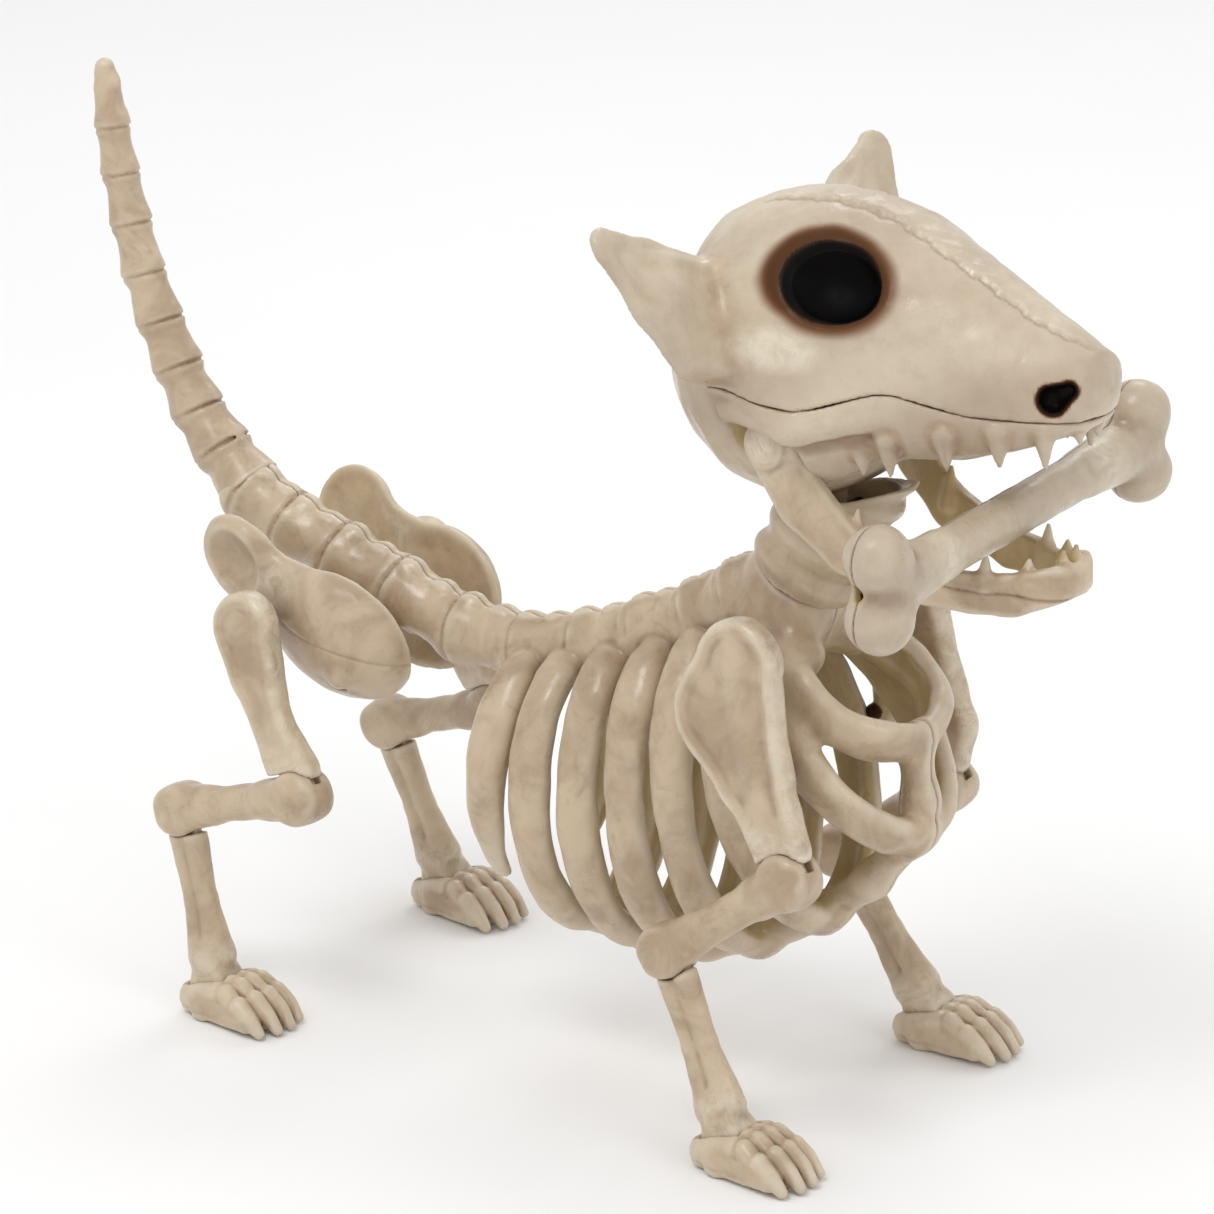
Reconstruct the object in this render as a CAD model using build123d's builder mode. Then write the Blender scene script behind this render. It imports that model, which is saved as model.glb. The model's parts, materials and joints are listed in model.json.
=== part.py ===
from build123d import *
import os
from math import acos, asin, atan2, cos, degrees, radians, sin

# Posable dog skeleton with a toy bone in its mouth, in millimetres. It stands on z = 0 and faces +X,
# with its left side towards +Y. The origin is below the middle of its overall box.

os.makedirs("parts", exist_ok=True)

# ---- fits ------------------------------------------------------------------------------------
GAP = 0.4                   # open gap round a knob and beside a tongue
RUN = 0.05                  # radial running clearance of a pin in a tongue
PIN_RADIUS = 1.5
SCREW_SHANK = 2.0
SCREW_HEAD = 3.6
HEAD_HEIGHT = 2.4

# ---- spine, neck and tail, as (x, z) stations on the middle plane -----------------------------
SPINE = [
    (-146, 174), (-127, 165.5), (-105, 158.5), (-79, 150.5), (-50, 141.5), (-21, 140),
    (5, 146.5), (31, 157), (53, 167.5), (70, 178), (84, 187),
]
VERTEBRA_RADIUS = 12.2
WAIST_RADIUS = 10.6
TAIL = [
    (-147.7, 176.7), (-161, 189), (-172, 202), (-181, 217), (-189, 233), (-196, 250),
    (-201.5, 268), (-206, 286), (-209, 303), (-211, 318), (-211.8, 327),
]
TAIL_BASE_RADIUS = 12
TAIL_TIP_RADIUS = 3.5
TAIL_PLUG_RADIUS = 5

# ---- rib cage: (top x, z), (bottom x, z), half width -------------------------------------------
RIBS = [
    ((-14, 138), (-13, 52), 37),
    ((3, 141), (10, 47), 38),
    ((23, 147), (32, 46), 38.5),
    ((42, 154), (54, 48), 38.5),
    ((59, 162), (78, 54), 38.5),
    ((74, 171), (106, 70), 38),
    ((86, 174), (143, 108), 34),
    ((97, 170), (141, 146), 29),
]
RIB_HALF_WIDTH = 7.2
RIB_HALF_DEPTH = 4.8
STERNUM = [
    (6, 46), (32, 45), (55, 47), (78, 54), (104, 69), (124, 86), (140, 106), (143, 120),
    (140, 146),
]
STERNUM_RADIUS = 6

# ---- legs --------------------------------------------------------------------------------------
SPLAY = radians(5)          # each leg plane leans out at the foot
BONE_THICKNESS = 14
UPPER_THICKNESS = 11
TONGUE = 4
SLOT = TONGUE + 2 * GAP
TONGUE_RADIUS = 5.5
WEB_RADIUS = 4
KNOB_RADIUS = 9.6
ANKLE_RADIUS = 8.4
ANKLE_HEIGHT = 11
PAW_WIDTH = 25.6
PAW_LENGTH = 42

# Upper, middle and lower bone length, then the lean of the upper and middle bone from straight down.
FRONT_LENGTHS = (75.5, 58.5, 66.5)
HIND_LENGTHS = (63.5, 56.5, 64.5)
SHOULDER = (101.6, 175.7, 50.5)
HIP = (-107.9, 145.2, 52.5)
LEGS = {
    "front_right": (SHOULDER, FRONT_LENGTHS, (20.4, -53.2), -1, -4.7),
    "front_left": (SHOULDER, FRONT_LENGTHS, (12.5, -52.1), 1, 1.8),
    "hind_right": (HIP, HIND_LENGTHS, (26.4, -73.4), -1, -5.2),
    "hind_left": (HIP, HIND_LENGTHS, (27.8, -71.1), 1, -8.0),
}

# Joint travel in degrees, positive swings the lower piece forwards.
KNEE_TRAVEL = {"front": (-10, 45), "hind": (-6, 40)}
WRIST_TRAVEL = (-40, 10)
ANKLE_TRAVEL = (-18, 18)

# ---- head --------------------------------------------------------------------------------------
# Skull sections: x, lowest z, highest z, half width, squareness of the lower half (1 is round).
SKULL = [
    (52, 248, 286, 15, 1), (57, 240, 300, 26, 1), (67, 231, 315, 37, 1),
    (80, 223.5, 321.5, 44.5, 1), (93, 221, 325.5, 47.5, 1), (107, 223, 328, 48.5, 0.9),
    (120, 229, 327.5, 47, 0.8), (135, 241, 323, 41, 0.6), (150, 246, 316, 34.5, 0.45),
    (167, 248, 308, 29, 0.45), (186, 254, 298.5, 23.5, 0.45), (201, 260, 292, 17.5, 0.5),
    (213, 268, 284, 8, 0.7),
]
SKULL_WALL = 2.6
SEAM = [(40, 272), (74, 269), (98, 264.5), (116, 263.5), (132, 268), (148, 272), (166, 268),
        (190, 263.5), (225, 268)]
EYE = (127, 38, 307)
EYE_RADIUS = 18.5
EYE_WALL = 2
EAR_TIP = (67.7, 85, 323)
EAR_LENGTH = 60             # from the tip to the root, which lies inside the skull
UPPER_TEETH = [(137, 31, 9), (147, 30.5, 10), (166, 26.5, 9), (183, 21.5, 10), (196, 14.5, 12),
               (203.5, 6, 6)]
JAW_HINGE = (105, 248)
JAW_PIN_RADIUS = 2
NECK_SEAT = (94.5, 191)
NECK_LEAN = radians(28)
COLLAR_RADIUS = 20.5
COLLAR_WALL = 3
COLLAR_POST = 8
HEAD_PIVOT = (106, 214)

# ---- jaw and toy bone --------------------------------------------------------------------------
JAW_SIDE = [(105, 248, 8.5), (117, 229, 9), (133, 214.5, 8), (160, 207, 7), (186, 205.5, 7),
            (199, 210, 6.5)]
LOWER_TEETH = [(134, 28.5, 216, 12), (178, 19.5, 208, 10), (190, 12, 210, 7), (198, 4, 212, 7)]
BONE_CENTRE = (176.5, 0, 228)
BONE_DIRECTION = Vector(4.3, 154, 11.7).normalized()
BONE_HALF_SPAN = 77
BONE_SHAFT_RADIUS = 8
BONE_LOBE_RADIUS = 11.5
BONE_LOBE_OFFSET = 10.5
BONE_WALL = 2


def write(builder, name):
    """Label a finished piece and write it to the parts folder."""
    builder.part.label = name
    export_step(builder.part, f"parts/{name}.step")


def limb_outline(circles, mode=Mode.ADD):
    """Wrap a row of (u, v, radius) circles and add that outline to the active sketch."""
    for pair in zip(circles, circles[1:]):
        with BuildSketch(mode=Mode.PRIVATE) as span:
            for u, v, radius in pair:
                with Locations((u, v)):
                    Circle(radius)
            make_hull()
        add(span.sketch, mode=mode)


def side_name(side):
    return "left" if side > 0 else "right"


def middle_plane(x, z, direction_x, direction_z):
    """Plane square to a direction in the dog's middle plane, with its local x across the body."""
    return Plane(origin=(x, 0, z), x_dir=(0, 1, 0), z_dir=(direction_x, 0, direction_z))


def round_section(plane, radius):
    with BuildSketch(plane) as section:
        Circle(radius)
    return section.sketch


def beaded_sections(stations, ring_radii, waist_radii):
    """Circles along the stations: a ring at each one and a waist half-way to the next."""
    sections = []
    for index, (x, z) in enumerate(stations):
        before = stations[max(index - 1, 0)]
        after = stations[min(index + 1, len(stations) - 1)]
        ring_plane = middle_plane(x, z, after[0] - before[0], after[1] - before[1])
        sections.append(round_section(ring_plane, ring_radii[index]))
        if index + 1 < len(stations):
            middle = ((x + after[0]) / 2, (z + after[1]) / 2)
            waist_plane = middle_plane(*middle, after[0] - x, after[1] - z)
            sections.append(round_section(waist_plane, waist_radii[index]))
    return sections


# ================================================================================================
# Spine: two moulded halves with the neck socket at the front and the tail socket at the back
# ================================================================================================
neck_axis = (sin(NECK_LEAN), 0, cos(NECK_LEAN))
neck_plane = Plane(origin=(NECK_SEAT[0], 0, NECK_SEAT[1]), x_dir=(0, 1, 0), z_dir=neck_axis)
tail_rise = (TAIL[1][0] - TAIL[0][0], TAIL[1][1] - TAIL[0][1])
tail_plane = middle_plane(*TAIL[0], *tail_rise)
SOCKET_DEPTH = 12
PLUG_LENGTH = 10

with BuildPart() as spine:
    vertebrae = beaded_sections(
        SPINE, [VERTEBRA_RADIUS] * len(SPINE), [WAIST_RADIUS] * len(SPINE)
    )
    loft(vertebrae, ruled=True)
    with BuildSketch(neck_plane.offset(-GAP)):
        Circle(COLLAR_RADIUS - 1.5)
    with BuildSketch(neck_plane.offset(-SOCKET_DEPTH - 5)):
        Circle(VERTEBRA_RADIUS)
    loft()
    with BuildSketch(neck_plane.offset(-SOCKET_DEPTH)):
        Circle(COLLAR_POST + RUN)
    extrude(amount=SOCKET_DEPTH, mode=Mode.SUBTRACT)
    with BuildSketch(tail_plane.offset(-GAP)):
        Circle(VERTEBRA_RADIUS * 2)
    extrude(amount=SOCKET_DEPTH, mode=Mode.SUBTRACT)
    with BuildSketch(tail_plane.offset(-SOCKET_DEPTH)):
        Circle(TAIL_PLUG_RADIUS + RUN)
    extrude(amount=SOCKET_DEPTH, mode=Mode.SUBTRACT)

for side in (1, -1):
    with BuildPart() as spine_half:
        add(spine.part)
        split(bisect_by=Plane.XZ, keep=Keep.BOTTOM if side > 0 else Keep.TOP)
    write(spine_half, f"spine_{side_name(side)}")

# ================================================================================================
# Rib cage: eight ribs a side, joined below by the sternum
# ================================================================================================
RIB_SWEEP = 78              # each rib covers this many degrees above and below its widest point
FLOATING_ARC = 122          # the last rib ends free

for side in (1, -1):
    with BuildPart() as ribs:
        for top, bottom, half_width in RIBS:
            floating = top == RIBS[0][0]
            half_length = ((top[0] - bottom[0]) ** 2 + (top[1] - bottom[1]) ** 2) ** 0.5 / 2
            slant = (top[0] - bottom[0], 0, top[1] - bottom[1])
            forward = Vector(slant).cross(Vector(0, -1, 0)).normalized()
            rib_plane = Plane(
                origin=((top[0] + bottom[0]) / 2, 0, (top[1] + bottom[1]) / 2),
                x_dir=(0, side, 0),
                z_dir=forward * -side,
            )
            with BuildLine(rib_plane) as course:
                EllipticalCenterArc(
                    (0, 0),
                    half_width,
                    half_length,
                    start_angle=RIB_SWEEP,
                    arc_size=-FLOATING_ARC if floating else -2 * RIB_SWEEP,
                )
            start = Plane(origin=course.line @ 0, x_dir=forward, z_dir=course.line % 0)
            with BuildSketch(start):
                Ellipse(RIB_HALF_WIDTH, RIB_HALF_DEPTH)
            sweep(path=course.line)
    write(ribs, f"ribs_{side_name(side)}")

with BuildPart() as sternum:
    with BuildSketch(Plane.XZ):
        limb_outline([(x, z, STERNUM_RADIUS) for x, z in STERNUM])
    extrude(amount=STERNUM_RADIUS + 3, both=True)
write(sternum, "sternum")

# ================================================================================================
# Shoulder plates and pelvis wings, which the legs are screwed to
# ================================================================================================
PLATE_THICKNESS = 7
PLATE_OUTLINE = [(-8, 4, 9), (0, 0, 11), (3, -48, 8)]
PELVIS_WING = [(-123, 164, 14), (-106, 153, 14), (-90, 142, 22), (-76, 138, 21)]
WING_INSIDE = 9
WING_WIDTH = 28
WING_EDGE = 7
HIP_BOSS = 10
HIP_BORE_DEPTH = 12


def leg_plane(pivot, side):
    """Plane of a leg through its top pivot: local x forwards, local y up the leg."""
    x, z, half_width = pivot
    return Plane(
        origin=(x, side * half_width, z),
        x_dir=(1, 0, 0),
        z_dir=(0, -cos(SPLAY), -side * sin(SPLAY)),
    )


def inward(plane, side, distance):
    """The leg plane moved towards the middle of the dog."""
    return plane.offset(side * distance)


for side in (1, -1):
    plane = leg_plane(SHOULDER, side)
    inside = inward(plane, side, UPPER_THICKNESS / 2 + GAP)
    with BuildPart() as plate:
        with BuildSketch(inside):
            limb_outline(PLATE_OUTLINE)
        extrude(amount=side * PLATE_THICKNESS)
        with BuildSketch(inside):
            Circle(SCREW_SHANK)
        extrude(amount=side * PLATE_THICKNESS, mode=Mode.SUBTRACT)
    write(plate, f"shoulder_plate_{side_name(side)}")

    plane = leg_plane(HIP, side)
    inside = inward(plane, side, UPPER_THICKNESS / 2 + GAP)
    with BuildPart() as pelvis:
        with BuildSketch(Plane.XZ.offset(-side * WING_INSIDE)):
            limb_outline(PELVIS_WING)
        extrude(amount=-side * WING_WIDTH)
        fillet(pelvis.faces().sort_by(Axis.Y)[-1 if side > 0 else 0].edges(), WING_EDGE)
        with BuildSketch(inside):
            Circle(HIP_BOSS)
        extrude(amount=side * WING_WIDTH)
        with BuildSketch(inside):
            Circle(SCREW_SHANK)
        extrude(amount=side * HIP_BORE_DEPTH, mode=Mode.SUBTRACT)
    write(pelvis, f"pelvis_{side_name(side)}")

# ================================================================================================
# Screws that close the two spine halves
# ================================================================================================
SPINE_SCREWS = [(-100, 157), (-18, 141), (54, 168)]
SPINE_SCREW_LENGTH = 14

with BuildPart() as torso_screws:
    for x, z in SPINE_SCREWS:
        with BuildSketch(Plane.XZ.offset(SPINE_SCREW_LENGTH / 2)):
            with Locations((x, z)):
                Circle(SCREW_SHANK)
        extrude(amount=-SPINE_SCREW_LENGTH)
write(torso_screws, "torso_screws")

# ================================================================================================
# Tail: one moulded piece with a plug that turns in the spine
# ================================================================================================
with BuildPart() as tail:
    count = len(TAIL)
    rings = [TAIL_BASE_RADIUS + (TAIL_TIP_RADIUS + 2 - TAIL_BASE_RADIUS) * i / (count - 1)
             for i in range(count)]
    rings[-1] = TAIL_TIP_RADIUS
    loft(beaded_sections(TAIL, rings, [radius * 0.88 for radius in rings]), ruled=True)
write(tail, "tail")

with BuildPart() as tail_plug:
    with BuildSketch(tail_plane.offset(-PLUG_LENGTH)):
        Circle(TAIL_PLUG_RADIUS)
    extrude(amount=PLUG_LENGTH)
write(tail_plug, "tail_plug")


# ================================================================================================
# Legs
# ================================================================================================
def polar(centre, angle, distance):
    return (centre[0] + distance * cos(radians(angle)), centre[1] + distance * sin(radians(angle)))


def heading(start, end):
    return degrees(atan2(end[1] - start[1], end[0] - start[0]))


def slot_outline(pivot, toward, travel, knob_radius):
    """Pocket of a tongue: a disc round the pivot, open over the arc that the tongue swings in."""
    with Locations(pivot):
        Circle(TONGUE_RADIUS + GAP)
    spread = degrees(asin((WEB_RADIUS + GAP) / (TONGUE_RADIUS + GAP))) + 2
    first = toward - travel[1] - spread
    last = toward - travel[0] + spread
    reach = knob_radius + 1.5
    with BuildLine() as wedge:
        rim = CenterArc(pivot, reach, first, last - first)
        Line(rim @ 1, pivot)
        Line(pivot, rim @ 0)
    make_face(wedge.edges())


def bone_body(plane, circles, thickness, rooms=()):
    """A flat-sided bone in the active part, cut back where a neighbour's outline needs room."""
    with BuildSketch(plane) as profile:
        limb_outline(circles)
        for room in rooms:
            limb_outline(room, mode=Mode.SUBTRACT)
    extrude(profile.sketch, amount=thickness / 2, both=True)


def knob_room(pivot, knob_radius, shaft_radius, angle):
    """Outline of a knob and its shaft pointing at the given angle, larger by the open gap."""
    return [
        (*pivot, knob_radius + GAP),
        (*polar(pivot, angle, KNOB_TO_SHAFT), shaft_radius + GAP),
        (*polar(pivot, angle, 3 * KNOB_TO_SHAFT), shaft_radius + GAP),
    ]


def add_tongue(plane, pivot, root):
    """Add a thin tongue that reaches from the bone to the pivot."""
    with BuildSketch(plane) as profile:
        with Locations(pivot):
            Circle(TONGUE_RADIUS)
        limb_outline([(*pivot, WEB_RADIUS), (*root, WEB_RADIUS)])
    extrude(profile.sketch, amount=TONGUE / 2, both=True)


def bore(plane, pivot, radius):
    with BuildSketch(plane) as hole:
        with Locations(pivot):
            Circle(radius)
    extrude(hole.sketch, amount=BONE_THICKNESS, both=True, mode=Mode.SUBTRACT)


def cut_slot(plane, pivot, toward, travel, knob_radius):
    with BuildSketch(plane) as pocket:
        slot_outline(pivot, toward, travel, knob_radius)
    extrude(pocket.sketch, amount=SLOT / 2, both=True, mode=Mode.SUBTRACT)


def build_pin(name, plane, pivot, radius, length):
    with BuildPart() as pin:
        with BuildSketch(plane.offset(-length / 2)):
            with Locations(pivot):
                Circle(radius)
        extrude(amount=length)
    write(pin, name)


def leg_pivots(pivot, lengths, leans):
    """Hinge places in the leg plane; the last bone leans just enough for the paw to reach z = 0."""
    places = [(0.0, 0.0)]
    for length, lean in zip(lengths, leans):
        places.append(polar(places[-1], lean - 90, length))
    drop = places[-1][1] - (ANKLE_HEIGHT - pivot[1]) / cos(SPLAY)
    places.append(polar(places[-1], degrees(acos(drop / lengths[2])) - 90, lengths[2]))
    return places


KNOB_TO_SHAFT = 13          # from a hinge to where the bone has narrowed to its shaft
TONGUE_ROOT = 16
SHAFT_RADIUS = 6.2
SHIN_RADIUS = 7.2
FRONT_BLADE = [(2, -1, 16), (-1, -18, 21), (14, -44, 13)]
HIND_BLADE = [(1, -2, 15), (7, -18, 13.5), (15, -36, 11)]
PAW_WEB_ANGLE = -52

for name, (pivot, lengths, leans, side, toe_turn) in LEGS.items():
    pair = name.split("_")[0]
    plane = leg_plane(pivot, side)
    hip, knee, wrist, ankle = leg_pivots(pivot, lengths, leans)
    knee_travel = KNEE_TRAVEL[pair]
    blade = FRONT_BLADE if pair == "front" else HIND_BLADE
    up_thigh = heading(knee, hip)
    back = heading(knee, wrist)
    down = heading(wrist, ankle)

    with BuildPart() as upper:
        end_radius = 8.5 if pair == "front" else 7.5
        room = knob_room(knee, KNOB_RADIUS, SHAFT_RADIUS, back + knee_travel[0])
        thigh_end = (*polar(knee, up_thigh, 12), end_radius)
        bone_body(plane, blade + [thigh_end], UPPER_THICKNESS, [room])
        add_tongue(plane, knee, polar(knee, up_thigh, TONGUE_ROOT))
        bore(plane, knee, PIN_RADIUS + RUN)
        bore(plane, hip, SCREW_SHANK + RUN)
    write(upper, f"{name}_upper")

    with BuildPart() as middle:
        run = [
            (*knee, KNOB_RADIUS),
            (*polar(knee, back, KNOB_TO_SHAFT), SHAFT_RADIUS),
            (*polar(wrist, back + 180, KNOB_TO_SHAFT), SHAFT_RADIUS),
            (*wrist, KNOB_RADIUS),
        ]
        bone_body(plane, run, BONE_THICKNESS)
        cut_slot(plane, knee, up_thigh, knee_travel, KNOB_RADIUS)
        cut_slot(plane, wrist, down, (-WRIST_TRAVEL[1], -WRIST_TRAVEL[0]), KNOB_RADIUS)
        bore(plane, knee, PIN_RADIUS)
        bore(plane, wrist, PIN_RADIUS)
    write(middle, f"{name}_middle")

    with BuildPart() as lower:
        run = [
            (*polar(wrist, down, 12), 7),
            (*polar(wrist, down, 32), 6.4),
            (*polar(ankle, down + 180, KNOB_TO_SHAFT), SHIN_RADIUS),
            (*ankle, ANKLE_RADIUS),
        ]
        room = knob_room(wrist, KNOB_RADIUS, SHAFT_RADIUS, back + 180 - WRIST_TRAVEL[1])
        bone_body(plane, run, BONE_THICKNESS, [room])
        add_tongue(plane, wrist, polar(wrist, down, TONGUE_ROOT))
        cut_slot(plane, ankle, PAW_WEB_ANGLE, ANKLE_TRAVEL, ANKLE_RADIUS)
        bore(plane, wrist, PIN_RADIUS + RUN)
        bore(plane, ankle, PIN_RADIUS)
    write(lower, f"{name}_lower")

    # The paw stands flat on the ground, so its outline is drawn upright, turned by its toe-in.
    ankle_point = plane.from_local_coords((ankle[0], ankle[1], 0))
    turn = radians(toe_turn)
    paw_plane = Plane(
        origin=(ankle_point.X, ankle_point.Y, 0),
        x_dir=(cos(turn), sin(turn), 0),
        z_dir=(sin(turn), -cos(turn), 0),
    )
    with BuildPart() as paw:
        with BuildSketch(paw_plane):
            with BuildLine():
                Polyline(
                    (-PAW_LENGTH * 0.24, 0), (PAW_LENGTH * 0.76, 0), (PAW_LENGTH * 0.76, 5),
                    (PAW_LENGTH * 0.66, 11), (PAW_LENGTH * 0.44, 15), (PAW_LENGTH * 0.2, 16.5),
                    (-PAW_LENGTH * 0.15, 6.5), (-PAW_LENGTH * 0.24, 5), close=True,
                )
            make_face()
        extrude(amount=PAW_WIDTH / 2, both=True)
        with BuildSketch(plane):
            for swing in ANKLE_TRAVEL:
                limb_outline(knob_room(ankle, ANKLE_RADIUS, SHIN_RADIUS, down + 180 - swing))
        extrude(amount=PAW_WIDTH, both=True, mode=Mode.SUBTRACT)
        add_tongue(plane, ankle, polar(ankle, PAW_WEB_ANGLE, ANKLE_RADIUS + 1.8))
        bore(plane, ankle, PIN_RADIUS + RUN)
        split(bisect_by=Plane.XY, keep=Keep.TOP)
    write(paw, f"{name}_paw")

    for hinge, place in (("knee", knee), ("wrist", wrist), ("ankle", ankle)):
        build_pin(f"{name}_{hinge}_pin", plane, place, PIN_RADIUS, BONE_THICKNESS)

    # The screw passes from the inside of the torso into the upper bone.
    shank_start = inward(plane, side, -UPPER_THICKNESS / 2 + 1)
    head_start = inward(plane, side, UPPER_THICKNESS / 2 + GAP + PLATE_THICKNESS)
    shank = UPPER_THICKNESS - 1 + GAP + PLATE_THICKNESS
    with BuildPart() as screw:
        with BuildSketch(shank_start):
            Circle(SCREW_SHANK)
        extrude(amount=side * shank)
        if pair == "front":
            with BuildSketch(head_start):
                Circle(SCREW_HEAD)
            extrude(amount=side * HEAD_HEIGHT)
    write(screw, f"{name}_screw")

# ================================================================================================
# Neck collar: a cup that turns on the neck and carries the head pin
# ================================================================================================
CUP_HEIGHT = 30
CUP_RIM = Plane(origin=(82, 0, 213.5), x_dir=(0, 1, 0), z_dir=(-10.5, 0, 44))

with BuildPart() as neck_collar:
    with BuildSketch(neck_plane):
        Circle(COLLAR_RADIUS)
    extrude(amount=CUP_HEIGHT)
    with BuildSketch(neck_plane.offset(COLLAR_WALL)):
        Circle(COLLAR_RADIUS - COLLAR_WALL)
    extrude(amount=CUP_HEIGHT, mode=Mode.SUBTRACT)
    split(bisect_by=CUP_RIM, keep=Keep.BOTTOM)
    with BuildSketch(neck_plane.offset(-SOCKET_DEPTH + 1)):
        Circle(COLLAR_POST)
    extrude(amount=SOCKET_DEPTH - 1)
    with BuildSketch(Plane.XZ):
        with Locations(HEAD_PIVOT):
            Circle(SCREW_SHANK)
    extrude(amount=COLLAR_RADIUS * 2, both=True, mode=Mode.SUBTRACT)
write(neck_collar, "neck_collar")

with BuildPart() as head_pin:
    with BuildSketch(Plane.XZ.offset(-COLLAR_RADIUS + 1.2)):
        with Locations(HEAD_PIVOT):
            Circle(SCREW_SHANK)
    extrude(amount=2 * (COLLAR_RADIUS - 1.2))
write(head_pin, "head_pin")

# ================================================================================================
# Skull: top with ears, base with the upper teeth, eye cups
# ================================================================================================
JAW_RECESS = 29.5           # the jaw hinges in a recess, this far from the middle plane
HINGE_RADIUS = 8.5
HINGE_OUTSIDE = 40
SECTION_POINTS = 16


def skull_section(x, low, high, half_width, squareness, wall):
    """Egg-shaped section of the skull: round on top, squarer below in the muzzle."""
    half_height = (high - low) / 2 - wall
    points = []
    for index in range(SECTION_POINTS):
        angle = radians(360 * index / SECTION_POINTS)
        across = abs(cos(angle)) ** (squareness if sin(angle) < 0 else 1)
        across = across if cos(angle) >= 0 else -across
        points.append(((half_width - wall) * across, (low + high) / 2 + half_height * sin(angle)))
    with BuildSketch(Plane.YZ.offset(x)) as section:
        with BuildLine() as rim:
            Spline(*points, periodic=True)
        make_face(rim.edges())
    return section.sketch


def jaw_recess(grow):
    """Room for the jaw's upright arms, one each side, made larger by the given wall."""
    with BuildPart() as recess:
        for side in (1, -1):
            with BuildSketch(Plane.XZ.offset(-side * (JAW_RECESS - grow))) as arm:
                limb_outline([(*JAW_HINGE, 10.5 + grow), (116, 226, 16 + grow)])
            extrude(arm.sketch, amount=-side * 30)
    return recess.part


with BuildPart() as skull_outside:
    loft([skull_section(*section, 0) for section in SKULL])
    add(jaw_recess(0), mode=Mode.SUBTRACT)

with BuildPart() as skull_inside:
    loft([skull_section(*section, SKULL_WALL) for section in SKULL[1:-1]])
    add(jaw_recess(SKULL_WALL), mode=Mode.SUBTRACT)

with BuildPart() as above_seam:
    with BuildSketch(Plane.XZ):
        with BuildLine():
            edge = Spline(*SEAM)
            Polyline(edge @ 1, (SEAM[-1][0], 340), (SEAM[0][0], 340), edge @ 0)
        make_face()
    extrude(amount=100, both=True)

with BuildPart() as skull_top:
    add(skull_outside.part)
    for side in (1, -1):
        tip = Vector(EAR_TIP[0], side * EAR_TIP[1], EAR_TIP[2])
        for_root = Vector(0.15, -side * 0.9, -0.42).normalized()
        root = tip + for_root * EAR_LENGTH
        ear_normal = Vector(0.95, side * 0.28, 0.1)
        with BuildSketch(Plane(origin=root, x_dir=ear_normal, z_dir=-for_root)):
            Ellipse(10, 23)
        with BuildSketch(Plane(origin=tip, x_dir=ear_normal, z_dir=-for_root)):
            Ellipse(2.2, 3)
        loft()
    add(skull_inside.part, mode=Mode.SUBTRACT)
    add(above_seam.part, mode=Mode.INTERSECT)
    for side in (1, -1):
        with Locations((EYE[0], side * EYE[1], EYE[2])):
            Sphere(EYE_RADIUS, mode=Mode.SUBTRACT)
write(skull_top, "skull_top")

with BuildPart() as eye_cups:
    for side in (1, -1):
        with Locations((EYE[0], side * EYE[1], EYE[2])):
            Sphere(EYE_RADIUS)
    add(skull_inside.part, mode=Mode.INTERSECT)
    for side in (1, -1):
        with Locations((EYE[0], side * EYE[1], EYE[2])):
            Sphere(EYE_RADIUS - EYE_WALL, mode=Mode.SUBTRACT)
write(eye_cups, "eye_cups")

TONGUE_WIDTH = 9
TOOTH_ROOT = 252
TOOTH_SLOPE = 0.2

with BuildPart() as skull_base:
    add(skull_outside.part)
    add(skull_inside.part, mode=Mode.SUBTRACT)
    # Open mouth between the tooth rows.
    with BuildSketch(Plane.XY.offset(235)):
        limb_outline([(140, 0, 21), (170, 0, 17), (196, 0, 9)])
    extrude(amount=18, mode=Mode.SUBTRACT)
    # Neck tongue, bored for the head pin.
    with BuildSketch(Plane.XZ):
        limb_outline([(*HEAD_PIVOT, 7), (HEAD_PIVOT[0], HEAD_PIVOT[1] + 16, 8)])
    extrude(amount=TONGUE_WIDTH / 2, both=True)
    with BuildSketch(Plane.XZ):
        with Locations(HEAD_PIVOT):
            Circle(SCREW_SHANK + RUN)
    extrude(amount=TONGUE_WIDTH, both=True, mode=Mode.SUBTRACT)
    with BuildSketch(Plane.XZ):
        with Locations(JAW_HINGE):
            Circle(JAW_PIN_RADIUS)
    extrude(amount=60, both=True, mode=Mode.SUBTRACT)
    for x, y, length in UPPER_TEETH:
        root = TOOTH_ROOT + (x - UPPER_TEETH[0][0]) * TOOTH_SLOPE
        for side in (1, -1):
            with Locations((x, side * y, root - length / 2)):
                Cone(0.8, 3.4, length)
    add(above_seam.part, mode=Mode.SUBTRACT)
write(skull_base, "skull_base")

# ================================================================================================
# Jaw: a band bent round the chin, with its hinge knobs outside the skull base
# ================================================================================================
JAW_WALL = 4.5
JAW_PLAN = [(98, 41), (135, 32.5), (165, 26), (189, 16)]

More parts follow.
